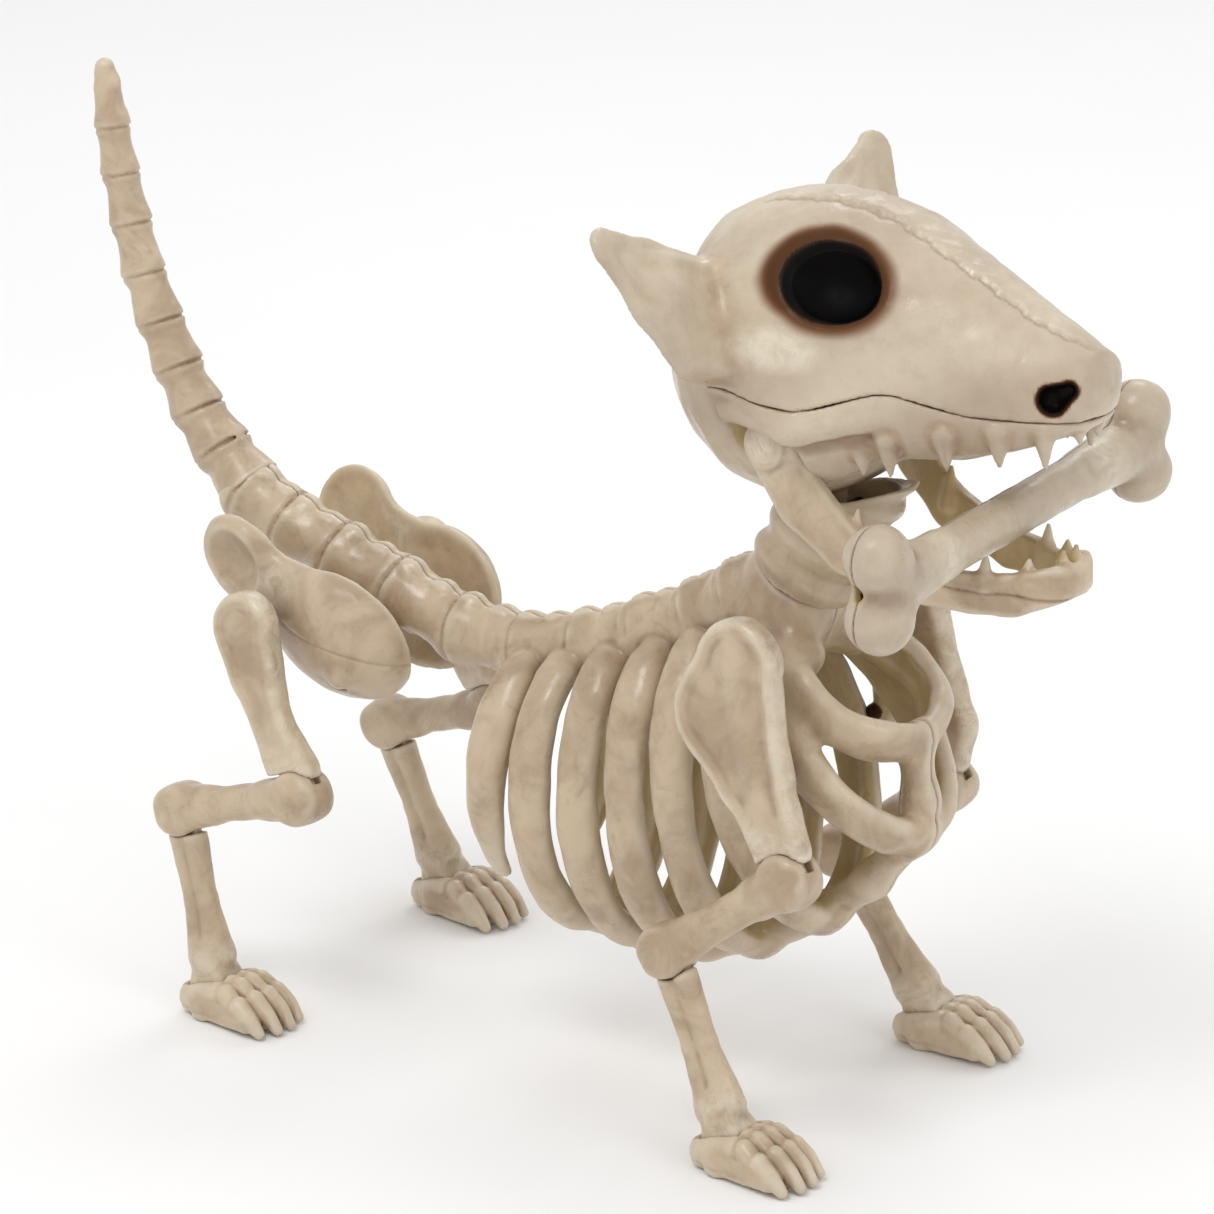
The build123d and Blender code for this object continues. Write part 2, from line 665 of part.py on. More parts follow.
with BuildPart() as jaw:
    with BuildSketch(Plane.XZ):
        limb_outline(JAW_SIDE)
        with Locations(JAW_HINGE):
            Circle(JAW_PIN_RADIUS + RUN, mode=Mode.SUBTRACT)
    extrude(amount=HINGE_OUTSIDE + 5, both=True)
    with BuildSketch(Plane.XY.offset(190)):
        limb_outline([(x, 0, half_width) for x, half_width in JAW_PLAN])
        limb_outline([(x, 0, half_width - JAW_WALL) for x, half_width in JAW_PLAN],
                     mode=Mode.SUBTRACT)
    extrude(amount=80, mode=Mode.INTERSECT)
    for side in (1, -1):
        with BuildSketch(Plane.XZ.offset(-side * (JAW_RECESS + GAP))):
            with Locations(JAW_HINGE):
                Circle(HINGE_RADIUS)
                Circle(JAW_PIN_RADIUS + RUN, mode=Mode.SUBTRACT)
        extrude(amount=-side * (HINGE_OUTSIDE - JAW_RECESS - GAP))
    for x, y, root, length in LOWER_TEETH:
        for side in (1, -1):
            with Locations((x, side * y, root + length / 2)):
                Cone(2.8, 0.7, length)
write(jaw, "jaw")

with BuildPart() as jaw_pins:
    for side in (1, -1):
        with BuildSketch(Plane.XZ.offset(-side * (JAW_RECESS - SKULL_WALL - 1))):
            with Locations(JAW_HINGE):
                Circle(JAW_PIN_RADIUS)
        extrude(amount=-side * (HINGE_OUTSIDE - JAW_RECESS + SKULL_WALL))
write(jaw_pins, "jaw_pins")

# ================================================================================================
# Toy bone: two hollow halves
# ================================================================================================
bone_up = (Vector(0, 0, 1) - BONE_DIRECTION * BONE_DIRECTION.Z).normalized()
bone_plane = Plane(origin=BONE_CENTRE, x_dir=BONE_DIRECTION, z_dir=BONE_DIRECTION.cross(bone_up))


def bone_solid(shrink):
    with BuildPart() as solid:
        with BuildSketch(bone_plane) as half_profile:
            Rectangle(2 * BONE_HALF_SPAN, BONE_SHAFT_RADIUS - shrink, align=(Align.CENTER, Align.MIN))
        revolve(half_profile.sketch, axis=Axis(bone_plane.origin, bone_plane.x_dir))
        for end in (1, -1):
            for lobe in (1, -1):
                spot = bone_plane.from_local_coords((end * BONE_HALF_SPAN, lobe * BONE_LOBE_OFFSET, 0))
                with Locations(spot):
                    Sphere(BONE_LOBE_RADIUS - shrink)
    return solid.part


bone_outside = bone_solid(0)
bone_inside = bone_solid(BONE_WALL)
for name, kept in (("toy_bone_front", Keep.TOP), ("toy_bone_back", Keep.BOTTOM)):
    with BuildPart() as bone_half:
        add(bone_outside)
        add(bone_inside, mode=Mode.SUBTRACT)
        split(bisect_by=bone_plane, keep=kept)
    write(bone_half, name)
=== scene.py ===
import json
from math import asin, atan2, cos, degrees, radians, sin, sqrt

import bpy
import numpy as np
import openvdb
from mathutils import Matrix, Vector


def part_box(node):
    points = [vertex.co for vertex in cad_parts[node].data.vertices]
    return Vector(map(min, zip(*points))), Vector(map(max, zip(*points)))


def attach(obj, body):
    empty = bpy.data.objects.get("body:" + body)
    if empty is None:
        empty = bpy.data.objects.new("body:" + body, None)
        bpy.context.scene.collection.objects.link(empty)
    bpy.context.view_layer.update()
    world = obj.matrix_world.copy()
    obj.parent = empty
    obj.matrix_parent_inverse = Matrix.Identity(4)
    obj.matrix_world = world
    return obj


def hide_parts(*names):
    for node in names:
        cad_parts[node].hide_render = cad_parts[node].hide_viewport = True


# Dog skeleton with a toy bone. Each moulded piece is sculpted as a signed distance field and skinned.
# Shapes are in millimetres in the CAD frame, +X to the nose and +Y to the dog's left side.

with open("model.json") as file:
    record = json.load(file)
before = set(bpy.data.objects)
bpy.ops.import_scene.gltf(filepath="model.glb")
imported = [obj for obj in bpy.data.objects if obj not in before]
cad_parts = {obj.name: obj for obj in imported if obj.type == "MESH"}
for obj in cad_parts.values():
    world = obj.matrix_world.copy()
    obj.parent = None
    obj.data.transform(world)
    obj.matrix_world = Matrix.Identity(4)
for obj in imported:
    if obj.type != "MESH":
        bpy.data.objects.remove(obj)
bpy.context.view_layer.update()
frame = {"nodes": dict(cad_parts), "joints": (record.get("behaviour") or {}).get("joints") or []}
JOINTS = {joint["name"]: joint for joint in frame["joints"]}

MM = 0.001
FAR = 60.0                                # the field where nothing has been added yet
COARSE = 1.0
SPLAY = radians(5)


# ---- Distance fields
def vec(*values):
    return np.array(values, np.float32)


def smooth_min(a, b, k):
    if k <= 0:
        return np.minimum(a, b)
    h = np.clip(0.5 + 0.5 * (b - a) / k, 0, 1)
    return b + (a - b) * h - k * h * (1 - h)


def smooth_max(a, b, k):
    return -smooth_min(-a, -b, k)


def ramp(value, start, end):
    """0 before start, 1 after end, smooth between."""
    t = np.clip((value - start) / (end - start), 0, 1)
    return t * t * (3 - 2 * t)


def bell(value, width):
    """1 at zero, falling away on both sides."""
    return np.exp(-(value / width) ** 2)


def egg(centre, radii, turn=None):
    """An ellipsoid; turn is a 3x3 matrix whose rows are its own axes."""
    axes = np.eye(3, dtype=np.float32) if turn is None else np.array(turn, np.float32)

    def distance(x, y, z):
        d = (x - centre[0], y - centre[1], z - centre[2])
        parts = [d[0] * a[0] + d[1] * a[1] + d[2] * a[2] for a in axes]
        near = np.sqrt(sum((p / r) ** 2 for p, r in zip(parts, radii)))
        slope = np.sqrt(sum((p / r ** 2) ** 2 for p, r in zip(parts, radii)))
        return near * (near - 1) / np.maximum(slope, 1e-4)
    reach = np.sqrt(((axes.T * np.array(radii)) ** 2).sum(1)).astype(np.float32)
    return distance, vec(*centre) - reach, vec(*centre) + reach


def cone(start, end, radius_start, radius_end=None):
    """A round bar between two points, with its own radius at each end."""
    radius_end = radius_start if radius_end is None else radius_end
    a, b = vec(*start), vec(*end)
    along = b - a
    square = float(along @ along) + 1e-6

    def distance(x, y, z):
        px, py, pz = x - a[0], y - a[1], z - a[2]
        t = np.clip((px * along[0] + py * along[1] + pz * along[2]) / square, 0, 1)
        gap = np.sqrt((px - t * along[0]) ** 2 + (py - t * along[1]) ** 2 + (pz - t * along[2]) ** 2)
        return gap - (radius_start + (radius_end - radius_start) * t)
    reach = max(radius_start, radius_end)
    return distance, np.minimum(a, b) - reach, np.maximum(a, b) + reach


def ball(centre, radius):
    return cone(centre, centre, radius)


def bar(start, end, radius_start, radius_end=None):
    """A cone in the plane y = 0, between two (x, z) points."""
    return cone((start[0], 0, start[1]), (end[0], 0, end[1]), radius_start, radius_end)


def between(start, end, share):
    return [start[i] + share * (end[i] - start[i]) for i in range(2)]


def outline(circles, u, v):
    """2-D distance to the hulls of neighbouring (u, v, radius) circles."""
    best = None
    for (ax, ay, ra), (bx, by, rb) in zip(circles, circles[1:]):
        dx, dy = bx - ax, by - ay
        t = np.clip(((u - ax) * dx + (v - ay) * dy) / (dx * dx + dy * dy + 1e-6), 0, 1)
        gap = np.sqrt((u - ax - t * dx) ** 2 + (v - ay - t * dy) ** 2) - (ra + (rb - ra) * t)
        best = gap if best is None else smooth_min(best, gap, 2.0)
    return best


def rounded(flat, deep, rounding):
    """The distance to what two distances have in common, with its edge rounded."""
    flat, deep = flat + rounding, deep + rounding
    corner = np.sqrt(np.maximum(flat, 0) ** 2 + np.maximum(deep, 0) ** 2)
    return corner + np.minimum(np.maximum(flat, deep), 0) - rounding


def slab(circles, half, rounding):
    """A flat bone in local x, y, with half its thickness and rounded rims."""
    points = np.array([c[:2] for c in circles], float)
    reach = max(c[2] for c in circles)

    def distance(x, y, z):
        return rounded(outline(circles, x, y), np.abs(z) - half, rounding)
    low = vec(*(points.min(0) - reach), -half)
    high = vec(*(points.max(0) + reach), half)
    return distance, low, high


def axes_from(normal, hint):
    """Rows: an axis close to the hint, the normal, and the one across both."""
    normal = vec(*normal) / np.linalg.norm(normal)
    first = vec(*hint) - normal * float(vec(*hint) @ normal)
    first /= np.linalg.norm(first)
    return np.array([first, normal, np.cross(first, normal)])


def placement(x_axis, y_axis, z_axis, origin):
    """4x4 matrix from a piece's own axes to the frame."""
    place = np.eye(4)
    place[:3] = np.stack([x_axis, y_axis, z_axis, origin], axis=1)
    return place


class Sculpt:
    """A signed distance field on a grid, in millimetres, negative inside."""

    def __init__(self, low, high, cell):
        self.cell = cell * COARSE
        self.low = vec(*low)
        counts = np.ceil((vec(*high) - self.low) / self.cell).astype(int) + 1
        self.field = np.full(counts, FAR, np.float32)

    def near(self, low, high):
        """The cells between two corners: their slices and their coordinates."""
        shape = self.field.shape
        first = np.clip(np.floor((low - self.low) / self.cell).astype(int), 0, shape)
        last = np.clip(np.ceil((high - self.low) / self.cell).astype(int) + 1, 0, shape)
        place = tuple(slice(a, b) for a, b in zip(first, last))
        axes = [self.low[i] + self.cell * np.arange(first[i], last[i], dtype=np.float32)
                for i in range(3)]
        return place, np.ix_(*axes)

    def everywhere(self):
        return self.near(self.low, self.low + self.cell * np.array(self.field.shape))[1]

    def _combine(self, shape, blend, mode):
        distance, low, high = shape
        margin = blend + 4 * self.cell
        place, (x, y, z) = self.near(low - margin, high + margin)
        if 0 in self.field[place].shape:
            return
        value = distance(x, y, z).astype(np.float32)
        if mode == "add":
            self.field[place] = smooth_min(self.field[place], value, blend)
        else:
            self.field[place] = smooth_max(self.field[place], -value, blend)

    def add(self, shape, blend=0.0):
        self._combine(shape, blend, "add")

    def cut(self, shape, blend=0.0):
        self._combine(shape, blend, "cut")

    def keep(self, distance, blend=0.0):
        """Keep only what lies inside a distance function that covers the whole grid."""
        self.field = smooth_max(self.field, distance(*self.everywhere()), blend).astype(np.float32)

    def shift(self, amount):
        """Move the surface out by amount(x, y, z)."""
        self.field = (self.field - amount(*self.everywhere())).astype(np.float32)

    def unfold(self):
        """Mirror the dog's left side, which starts at y = 0, onto the right."""
        self.field = np.ascontiguousarray(np.concatenate([self.field[:, :0:-1, :], self.field], axis=1))
        self.low = self.low - vec(0, self.cell * (self.field.shape[1] // 2), 0)

    def weather(self, height=0.12):
        """Slow unevenness of a hand-finished mould."""
        self.shift(lambda x, y, z: height * (
            np.sin(0.31 * x + 1.7 * np.sin(0.19 * y + 0.4)) * np.cos(0.27 * z + 0.9 * np.sin(0.23 * x))
            + 0.6 * np.sin(0.53 * y + 1.2 * np.cos(0.41 * z)) * np.sin(0.47 * x + 0.6)))

    def normalise(self):
        """Bring the field's slope close to 1, so that blends have their nominal size."""
        slopes = np.gradient(self.field, self.cell)
        self.field /= np.maximum(np.sqrt(sum(s * s for s in slopes)), 0.35)

    def hollow_measure(self, reach):
        """How much lower the field is around each cell than at it: high in crevices."""
        clipped = np.clip(self.field, -2 * reach, 2 * reach)
        size = max(1, int(round(reach / self.cell)))
        blurred = clipped
        for _ in range(2):
            for axis in range(3):
                pad = [(0, 0)] * 3
                pad[axis] = (size + 1, size)
                total = np.cumsum(np.pad(blurred, pad, mode="edge"), axis=axis, dtype=np.float64)
                upper = np.take(total, range(2 * size + 1, total.shape[axis]), axis=axis)
                lower = np.take(total, range(0, total.shape[axis] - 2 * size - 1), axis=axis)
                blurred = ((upper - lower) / (2 * size + 1)).astype(np.float32)
        return (clipped - blurred) / reach

    def sample(self, values, points):
        """Trilinear value at grid-space points."""
        base = np.clip(np.floor(points).astype(int), 0, np.array(values.shape) - 2)
        t = np.clip(points - base, 0, 1)
        total = np.zeros(len(points), np.float32)
        for corner in np.ndindex(2, 2, 2):
            weight = np.ones(len(points), np.float32)
            for axis in range(3):
                weight = weight * (t[:, axis] if corner[axis] else 1 - t[:, axis])
            index = base + np.array(corner)
            total += weight * values[index[:, 0], index[:, 1], index[:, 2]]
        return total

    def skin(self, name, body, nodes, material, paint=None, place=None, mirror=False):
        """Mesh the surface, give it its paint attributes, and hang it on its body."""
        clipped = np.clip(self.field, -3 * self.cell, 3 * self.cell)
        edge = 3 * self.cell
        for axis in range(3):
            for end in (0, -1):
                index = [slice(None)] * 3
                index[axis] = end
                clipped[tuple(index)] = edge
        grid = openvdb.FloatGrid(float(edge))
        grid.copyFromArray(clipped)
        cells, quads = grid.convertToQuads(0.0)
        points = cells * self.cell + self.low
        fine = self.sample(self.hollow_measure(1.6), cells)
        broad = self.sample(self.hollow_measure(5.0), cells)
        slopes = np.stack([self.sample(g, cells) for g in np.gradient(self.field)], axis=1)
        slopes /= np.maximum(np.linalg.norm(slopes, axis=1, keepdims=True), 1e-5)
        painted = paint(points, slopes) if paint else {}
        if place is not None:
            turn = np.array(place, float)
            points = points @ turn[:3, :3].T + turn[:3, 3]
        if mirror:
            points = points * vec(1, -1, 1)
            quads = quads[:, ::-1]
        mesh = bpy.data.meshes.new(name)
        mesh.vertices.add(len(points))
        mesh.vertices.foreach_set("co", (points * MM).astype(np.float32).ravel())
        mesh.loops.add(quads.size)
        mesh.loops.foreach_set("vertex_index", quads.astype(np.int32).ravel())
        mesh.polygons.add(len(quads))
        mesh.polygons.foreach_set("loop_start", np.arange(0, quads.size, 4, dtype=np.int32))
        mesh.polygons.foreach_set("use_smooth", np.ones(len(quads), bool))
        mesh.update(calc_edges=True)
        mesh.validate()
        none = np.zeros(len(points), np.float32)
        washed = 1 - painted.pop("plain", none)
        layers = {"crevice": fine * washed, "hollow": broad * washed,
                  "bare": none, "dark": none, "chalk_and_highlight": none, **painted}
        for layer, values in layers.items():
            attribute = mesh.attributes.new(layer, "FLOAT", "POINT")
            attribute.data.foreach_set("value", np.asarray(values, np.float32))
        mesh.materials.append(material)
        piece = bpy.data.objects.new(name, mesh)
        bpy.context.scene.collection.objects.link(piece)
        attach(piece, body)
        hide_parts(*nodes)
        return piece


# ---- Materials
class Nodes:
    """Short forms for building one material."""

    def __init__(self, name):
        self.material = bpy.data.materials.new(name)
        self.material.use_nodes = True
        self.tree = self.material.node_tree
        self.shader = self.tree.nodes["Principled BSDF"]
        self.place = self.tree.nodes.new("ShaderNodeTexCoord").outputs["Object"]

    def link(self, value, socket):
        if hasattr(value, "is_output"):
            self.tree.links.new(value, socket)
        else:
            socket.default_value = value

    def make(self, kind, inputs, **settings):
        node = self.tree.nodes.new(kind)
        for name, value in settings.items():
            setattr(node, name, value)
        for name, value in inputs.items():
            self.link(value, node.inputs[name])
        return node

    def noise(self, scale, detail=4.0, roughness=0.55, distortion=0.0):
        node = self.make("ShaderNodeTexNoise", {
            "Vector": self.place, "Scale": scale, "Detail": detail, "Roughness": roughness,
            "Distortion": distortion})
        return node.outputs["Fac"]

    def layer(self, name):
        return self.make("ShaderNodeAttribute", {}, attribute_name=name).outputs["Fac"]

    def span(self, value, low, high, to_low=0.0, to_high=1.0):
        node = self.make("ShaderNodeMapRange", {
            "Value": value, "From Min": low, "From Max": high, "To Min": to_low, "To Max": to_high},
            interpolation_type="SMOOTHSTEP")
        return node.outputs["Result"]

    def math(self, operation, a, b=0.0):
        return self.make("ShaderNodeMath", {0: a, 1: b}, operation=operation).outputs[0]

    def mix(self, factor, a, b):
        return self.make("ShaderNodeMix", {0: factor, 6: a, 7: b}, data_type="RGBA").outputs[2]

    def bump(self, height, strength, distance):
        node = self.make("ShaderNodeBump", {"Height": height, "Strength": strength, "Distance": distance})
        self.link(node.outputs["Normal"], self.shader.inputs["Normal"])


def tint(red, green, blue):
    """Linear colour from display values of 0 to 255."""
    def linear(value):
        value /= 255
        return value / 12.92 if value <= 0.04045 else ((value + 0.055) / 1.055) ** 2.4
    return (linear(red), linear(green), linear(blue), 1.0)


def lacquered_bone(name, pale, warm, wash, wash_strength=1.0):
    """Moulded plastic, washed brown in its crevices and lacquered in patches."""
    n = Nodes(name)
    blotches = n.span(n.noise(38, 5, 0.6, 0.6), 0.36, 0.68)
    colour = n.mix(blotches, pale, warm)
    stains = n.span(n.noise(95, 6, 0.65, 0.8), 0.52, 0.78, 0.0, 0.35)
    colour = n.mix(stains, colour, wash)
    crevice = n.span(n.layer("crevice"), 0.03, 0.36, 0.0, 0.80 * wash_strength)
    hollow = n.span(n.layer("hollow"), 0.00, 0.34, 0.0, 0.75 * wash_strength)
    ragged = n.span(n.noise(160, 3), 0.2, 0.8, 0.65, 1.0)
    washed = n.math("MULTIPLY", n.math("MAXIMUM", crevice, hollow), ragged)
    colour = n.mix(washed, colour, wash)
    worn = n.span(n.layer("crevice"), -0.10, -0.36, 0.0, 0.8)
    colour = n.mix(n.math("MULTIPLY", worn, ragged), colour, tint(208, 196, 174))
    # Pale mix: real chalky wear at worn ends and rims, plus painted highlights where the skull and pelvis
    # paint put them; noise breaks it up.
    breakup = n.span(n.noise(110, 6, 0.7, 1.2), 0.38, 0.62, 0.20, 0.95)
    colour = n.mix(n.math("MULTIPLY", n.layer("chalk_and_highlight"), breakup), colour, tint(218, 209, 188))
    colour = n.mix(n.layer("bare"), colour, n.mix(blotches, BARE_PALE, BARE_WARM))
    # The dark layer holds dark paint (eye sockets, nostrils, seams, stains) and painted shade in the
    # skull's cheek crease and beside its top strip.
    colour = n.mix(n.span(n.layer("dark"), 0.0, 0.42), colour, tint(112, 72, 42))
    colour = n.mix(n.span(n.layer("dark"), 0.28, 0.60), colour, tint(44, 24, 12))
    colour = n.mix(n.span(n.layer("dark"), 0.5, 1.0), colour, tint(9, 6, 5))
    n.link(colour, n.shader.inputs["Base Color"])
    gloss = n.span(n.noise(55, 4, 0.6, 1.0), 0.38, 0.66, 0.50, 0.26)
    n.link(gloss, n.shader.inputs["Roughness"])
    n.link(n.span(n.layer("dark"), 0.15, 0.42, 0.22, 0.0), n.shader.inputs["Coat Weight"])
    n.link(n.span(n.layer("dark"), 0.15, 0.48, 0.5, 0.08), n.shader.inputs["Specular IOR Level"])
    n.shader.inputs["Coat Roughness"].default_value = 0.16
    n.shader.inputs["Subsurface Weight"].default_value = 0.06
    n.shader.inputs["Subsurface Radius"].default_value = (0.004, 0.0025, 0.0015)
    grain = n.math("ADD", n.noise(240, 5, 0.6), n.math("MULTIPLY", n.noise(900, 3), 0.35))
    n.bump(grain, 0.35, 0.0006)
    return n.material


def black_gloss():
    n = Nodes("eye_black")
    n.link(n.mix(n.span(n.noise(60, 4), 0.4, 0.7), tint(2, 1, 1), tint(7, 4, 3)),
           n.shader.inputs["Base Color"])
    n.link(n.span(n.noise(120, 3), 0.3, 0.7, 0.36, 0.55), n.shader.inputs["Roughness"])
    n.shader.inputs["Specular IOR Level"].default_value = 0.06
    n.bump(n.noise(260, 3), 0.2, 0.0004)
    return n.material


def dark_steel():
    n = Nodes("screw_steel")
    n.shader.inputs["Metallic"].default_value = 1.0
    n.link(n.mix(n.noise(400, 4), tint(52, 50, 48), tint(96, 92, 86)), n.shader.inputs["Base Color"])
    n.link(n.span(n.noise(700, 3), 0.3, 0.7, 0.28, 0.5), n.shader.inputs["Roughness"])
    n.bump(n.noise(1500, 2), 0.25, 0.0002)
    return n.material


BARE_PALE, BARE_WARM = tint(186, 164, 118), tint(166, 141, 94)
PALE, WARM, WASH = tint(195, 175, 148), tint(167, 144, 118), tint(100, 70, 42)
BONE = lacquered_bone("bone_paint", PALE, WARM, WASH)
TOY = lacquered_bone("toy_bone_paint", tint(168, 148, 124), tint(150, 129, 107), tint(88, 62, 44), 0.9)
BARE = lacquered_bone("bare_plastic", BARE_PALE, BARE_WARM, tint(112, 90, 54), 0.8)
BLACK = black_gloss()
STEEL = dark_steel()

# ---- Torso: two moulded halves, each with its half of the spine, its ribs and half of the sternum
SPINE = [
    (-146, 174), (-127, 165.5), (-105, 158.5), (-79, 150.5), (-50, 141.5), (-21, 140),
    (5, 146.5), (31, 157), (53, 167.5), (70, 178), (84, 187),
]
RIBS = [
    ((-14, 142), (-13, 52), 37), ((3, 146), (10, 47), 38), ((23, 152), (32, 46), 38.5),
    ((42, 159), (54, 48), 38.5), ((59, 166), (78, 54), 38.5), ((74, 173), (106, 70), 38),
    ((86, 174), (143, 108), 34), ((97, 170), (141.5, 142), 29),
]
STERNUM = [
    (6, 46), (32, 45), (55, 47), (78, 54), (104, 69), (124, 86), (140, 106), (143, 120),
    (140.5, 140),
]
RIB_HALF_WIDTH, RIB_HALF_DEPTH = 8.0, 5.3
NECK_LEAN = radians(28)
SEAT = vec(94.5, 0, 191)         # where the neck turns, and its axis
LEAN = vec(sin(NECK_LEAN), 0, cos(NECK_LEAN))
COLLAR_RADIUS = 20.5
COLLAR_FILL = 21.0           # height up to which the collar is solid


def rib(top, bottom, half_width, tip):
    """One rib as an arc of an ellipse, channelled on its inner side. tip is where it ends, in degrees."""
    middle = ((top[0] + bottom[0]) / 2, (top[1] + bottom[1]) / 2)
    length = sqrt((top[0] - bottom[0]) ** 2 + (top[1] - bottom[1]) ** 2) / 2
    slant = ((top[0] - bottom[0]) / (2 * length), (top[1] - bottom[1]) / (2 * length))

    def distance(x, y, z):
        along = (x - middle[0]) * slant[0] + (z - middle[1]) * slant[1]
        across = (x - middle[0]) * slant[1] - (z - middle[1]) * slant[0]
        u, v = y / half_width, along / length
        size = np.sqrt(u * u + v * v)
        steep = np.sqrt((u / half_width) ** 2 + (v / length) ** 2)
        radial = size * (size - 1) / np.maximum(steep, 1e-4)
        angle = np.degrees(np.arctan2(v, np.maximum(u, 0)))
        over = np.maximum(tip - angle, 0) * half_width * 0.02
        girth = 1 - 0.22 * ramp(angle, 58, 86) + 0.05 * np.sin(angle * 0.09 + middle[0])
        if tip > -60:
            girth = girth * (1 - 0.62 * ramp(-angle, -tip - 46, -tip + 4))
        broad, thick = RIB_HALF_WIDTH * girth, RIB_HALF_DEPTH * girth
        near = np.sqrt((across / broad) ** 2 + (radial / thick) ** 2) + 1e-5
        slope = np.sqrt((across / broad ** 2) ** 2 + (radial / thick ** 2) ** 2) + 1e-5
        body = near * (near - 1) / slope
        channel = np.sqrt((across / (0.62 * broad)) ** 2 + ((radial + 1.25 * thick) / (0.75 * thick)) ** 2)
        body = smooth_max(body, -(channel - 1) * 0.6 * thick, 1.0)
        body = np.sqrt(np.maximum(body, 0) ** 2 + over ** 2) + np.minimum(body, 0)
        return np.maximum(body, -y - 1.0) + np.where(over > 0, over, 0)
    reach = RIB_HALF_WIDTH + 5
    low = vec(min(top[0], bottom[0]) - reach - 4, -2, min(top[1], bottom[1]) - reach)
    high = vec(max(top[0], bottom[0]) + reach + 4, half_width + 8, max(top[1], bottom[1]) + reach)
    return distance, low, high


def ring_groove(centre, toward, radius, depth):
    """A groove round a bone where one segment meets the next."""
    along = vec(*toward)
    along /= np.linalg.norm(along)

    def distance(x, y, z):
        d = (x - centre[0], y - centre[1], z - centre[2])
        s = sum(a * b for a, b in zip(d, along))
        r = np.sqrt(np.maximum(sum(a * a for a in d) - s * s, 0))
        return np.sqrt((r - radius) ** 2 + s * s) - depth
    reach = vec(1, 1, 1) * (radius + depth + 1)
    return distance, vec(*centre) - reach, vec(*centre) + reach


def neck_height(x, z):
    """Height along the neck's axis, from its seat."""
    return (x - SEAT[0]) * LEAN[0] + (z - SEAT[2]) * LEAN[2]


def neck_side(x, z):
    """How far ahead of the neck's axis."""
    return (x - SEAT[0]) * LEAN[2] - (z - SEAT[2]) * LEAN[0]


def build_torso():
    body = Sculpt((-166, -2, 30), (166, 54, 216), 0.96)
    for start, end in zip(SPINE, SPINE[1:]):
        near, late = between(start, end, 0.30), between(start, end, 0.70)
        body.add(bar(start, near, 13.0, 10.9), 1.6)
        body.add(bar(near, late, 10.9, 10.7), 1.6)
        body.add(bar(late, end, 10.7, 12.5), 1.6)
        rise = atan2(end[1] - start[1], end[0] - start[0])
        tall = 1.0 if -125 < start[0] < -45 else 0.3
        for share, size in ((0.12, 1.0), (0.58, 0.7)):
            crown = between(start, end, share)
            crown = (crown[0] - 10.4 * sin(rise), crown[1] + 10.4 * cos(rise))
            body.add(egg((crown[0], 1.6, crown[1]), (4.4, 2.8, size * (2.2 + 2.0 * tall))), 2.8)
        body.cut(ring_groove((start[0] - 1.6, 0, start[1]), (cos(rise), 0, sin(rise)), 12.7, 0.8), 1.2)
    # A shoulder of plastic under the spine that the ribs spring from.
    for start, end in zip(SPINE[5:], SPINE[6:]):
        body.add(cone((start[0], 5, start[1] - 3.5), (end[0], 5, end[1] - 3.5), 7.0), 3)
    # The base of the neck swells up to the collar.
    body.add(cone(tuple(SEAT - 26 * LEAN), tuple(SEAT - 17 * LEAN), 14, 16.0), 7)
    body.add(cone(tuple(SEAT - 14 * LEAN), tuple(SEAT - 9 * LEAN), 16.5, 18.2), 4)
    body.add(cone((88, 6, 178), (104, 15, 168), 10.5, 8.0), 8)
    for number, (top, bottom, half_width) in enumerate(RIBS):
        blend = 1.5 if number < 6 else 5.5
        body.add(rib(top, bottom, half_width, -44 if number == 0 else -90), blend)
    for start, end in zip(STERNUM, STERNUM[1:]):
        body.add(bar(start, end, 5.8), 5.5)
    body.keep(lambda x, y, z: neck_height(x, z) + 0.6, 0.8)
    tail = SPINE[0]
    body.cut(ball((tail[0] - 10, 0, tail[1] + 12), 11.5), 1.0)
    body.weather(0.18)
    body.keep(lambda x, y, z: 0.10 - y, 0.35)

    def paint(p, normal):
        x, y, z = p.T
        spine_z = np.interp(x, [s[0] for s in SPINE], [s[1] for s in SPINE])
        below = spine_z - z
        heart_x = np.clip(x, 0, 96)
        outward = np.stack([x - heart_x, y, 0.8 * (z - 94 - 0.42 * heart_x)], axis=1)
        outward /= np.maximum(np.linalg.norm(outward, axis=1, keepdims=True), 1e-3)
        facing = (normal * outward).sum(1)
        bare = ramp(-facing, 0.15, 0.60) * ramp(below, 13, 19) * (x > -24)
        seam = bell(y - 0.1, 0.45)
        root = ramp(22 - np.abs(below - 6), 0, 8) * ramp(y, 13, 17) * (1 - ramp(y, 19, 28))
        return {"bare": bare * 0.9, "dark": np.maximum(0.22 * seam, 0.10 * root * (x > -20))}
    for side, mirror in (("left", False), ("right", True)):
        body.skin(f"torso_half_{side}", "torso", [f"spine_{side}", f"ribs_{side}", "sternum"],
                  BONE, paint, mirror=mirror)


# ---- Pelvis wings
def wing_lean(z):
    """How far outwards the wings have leaned at a height."""
    return 0.26 * (z - 122)


def wing_seam(x):
    return np.interp(x, [-116, -92, -73, -54], [150, 141, 137, 133.5]).astype(np.float32)


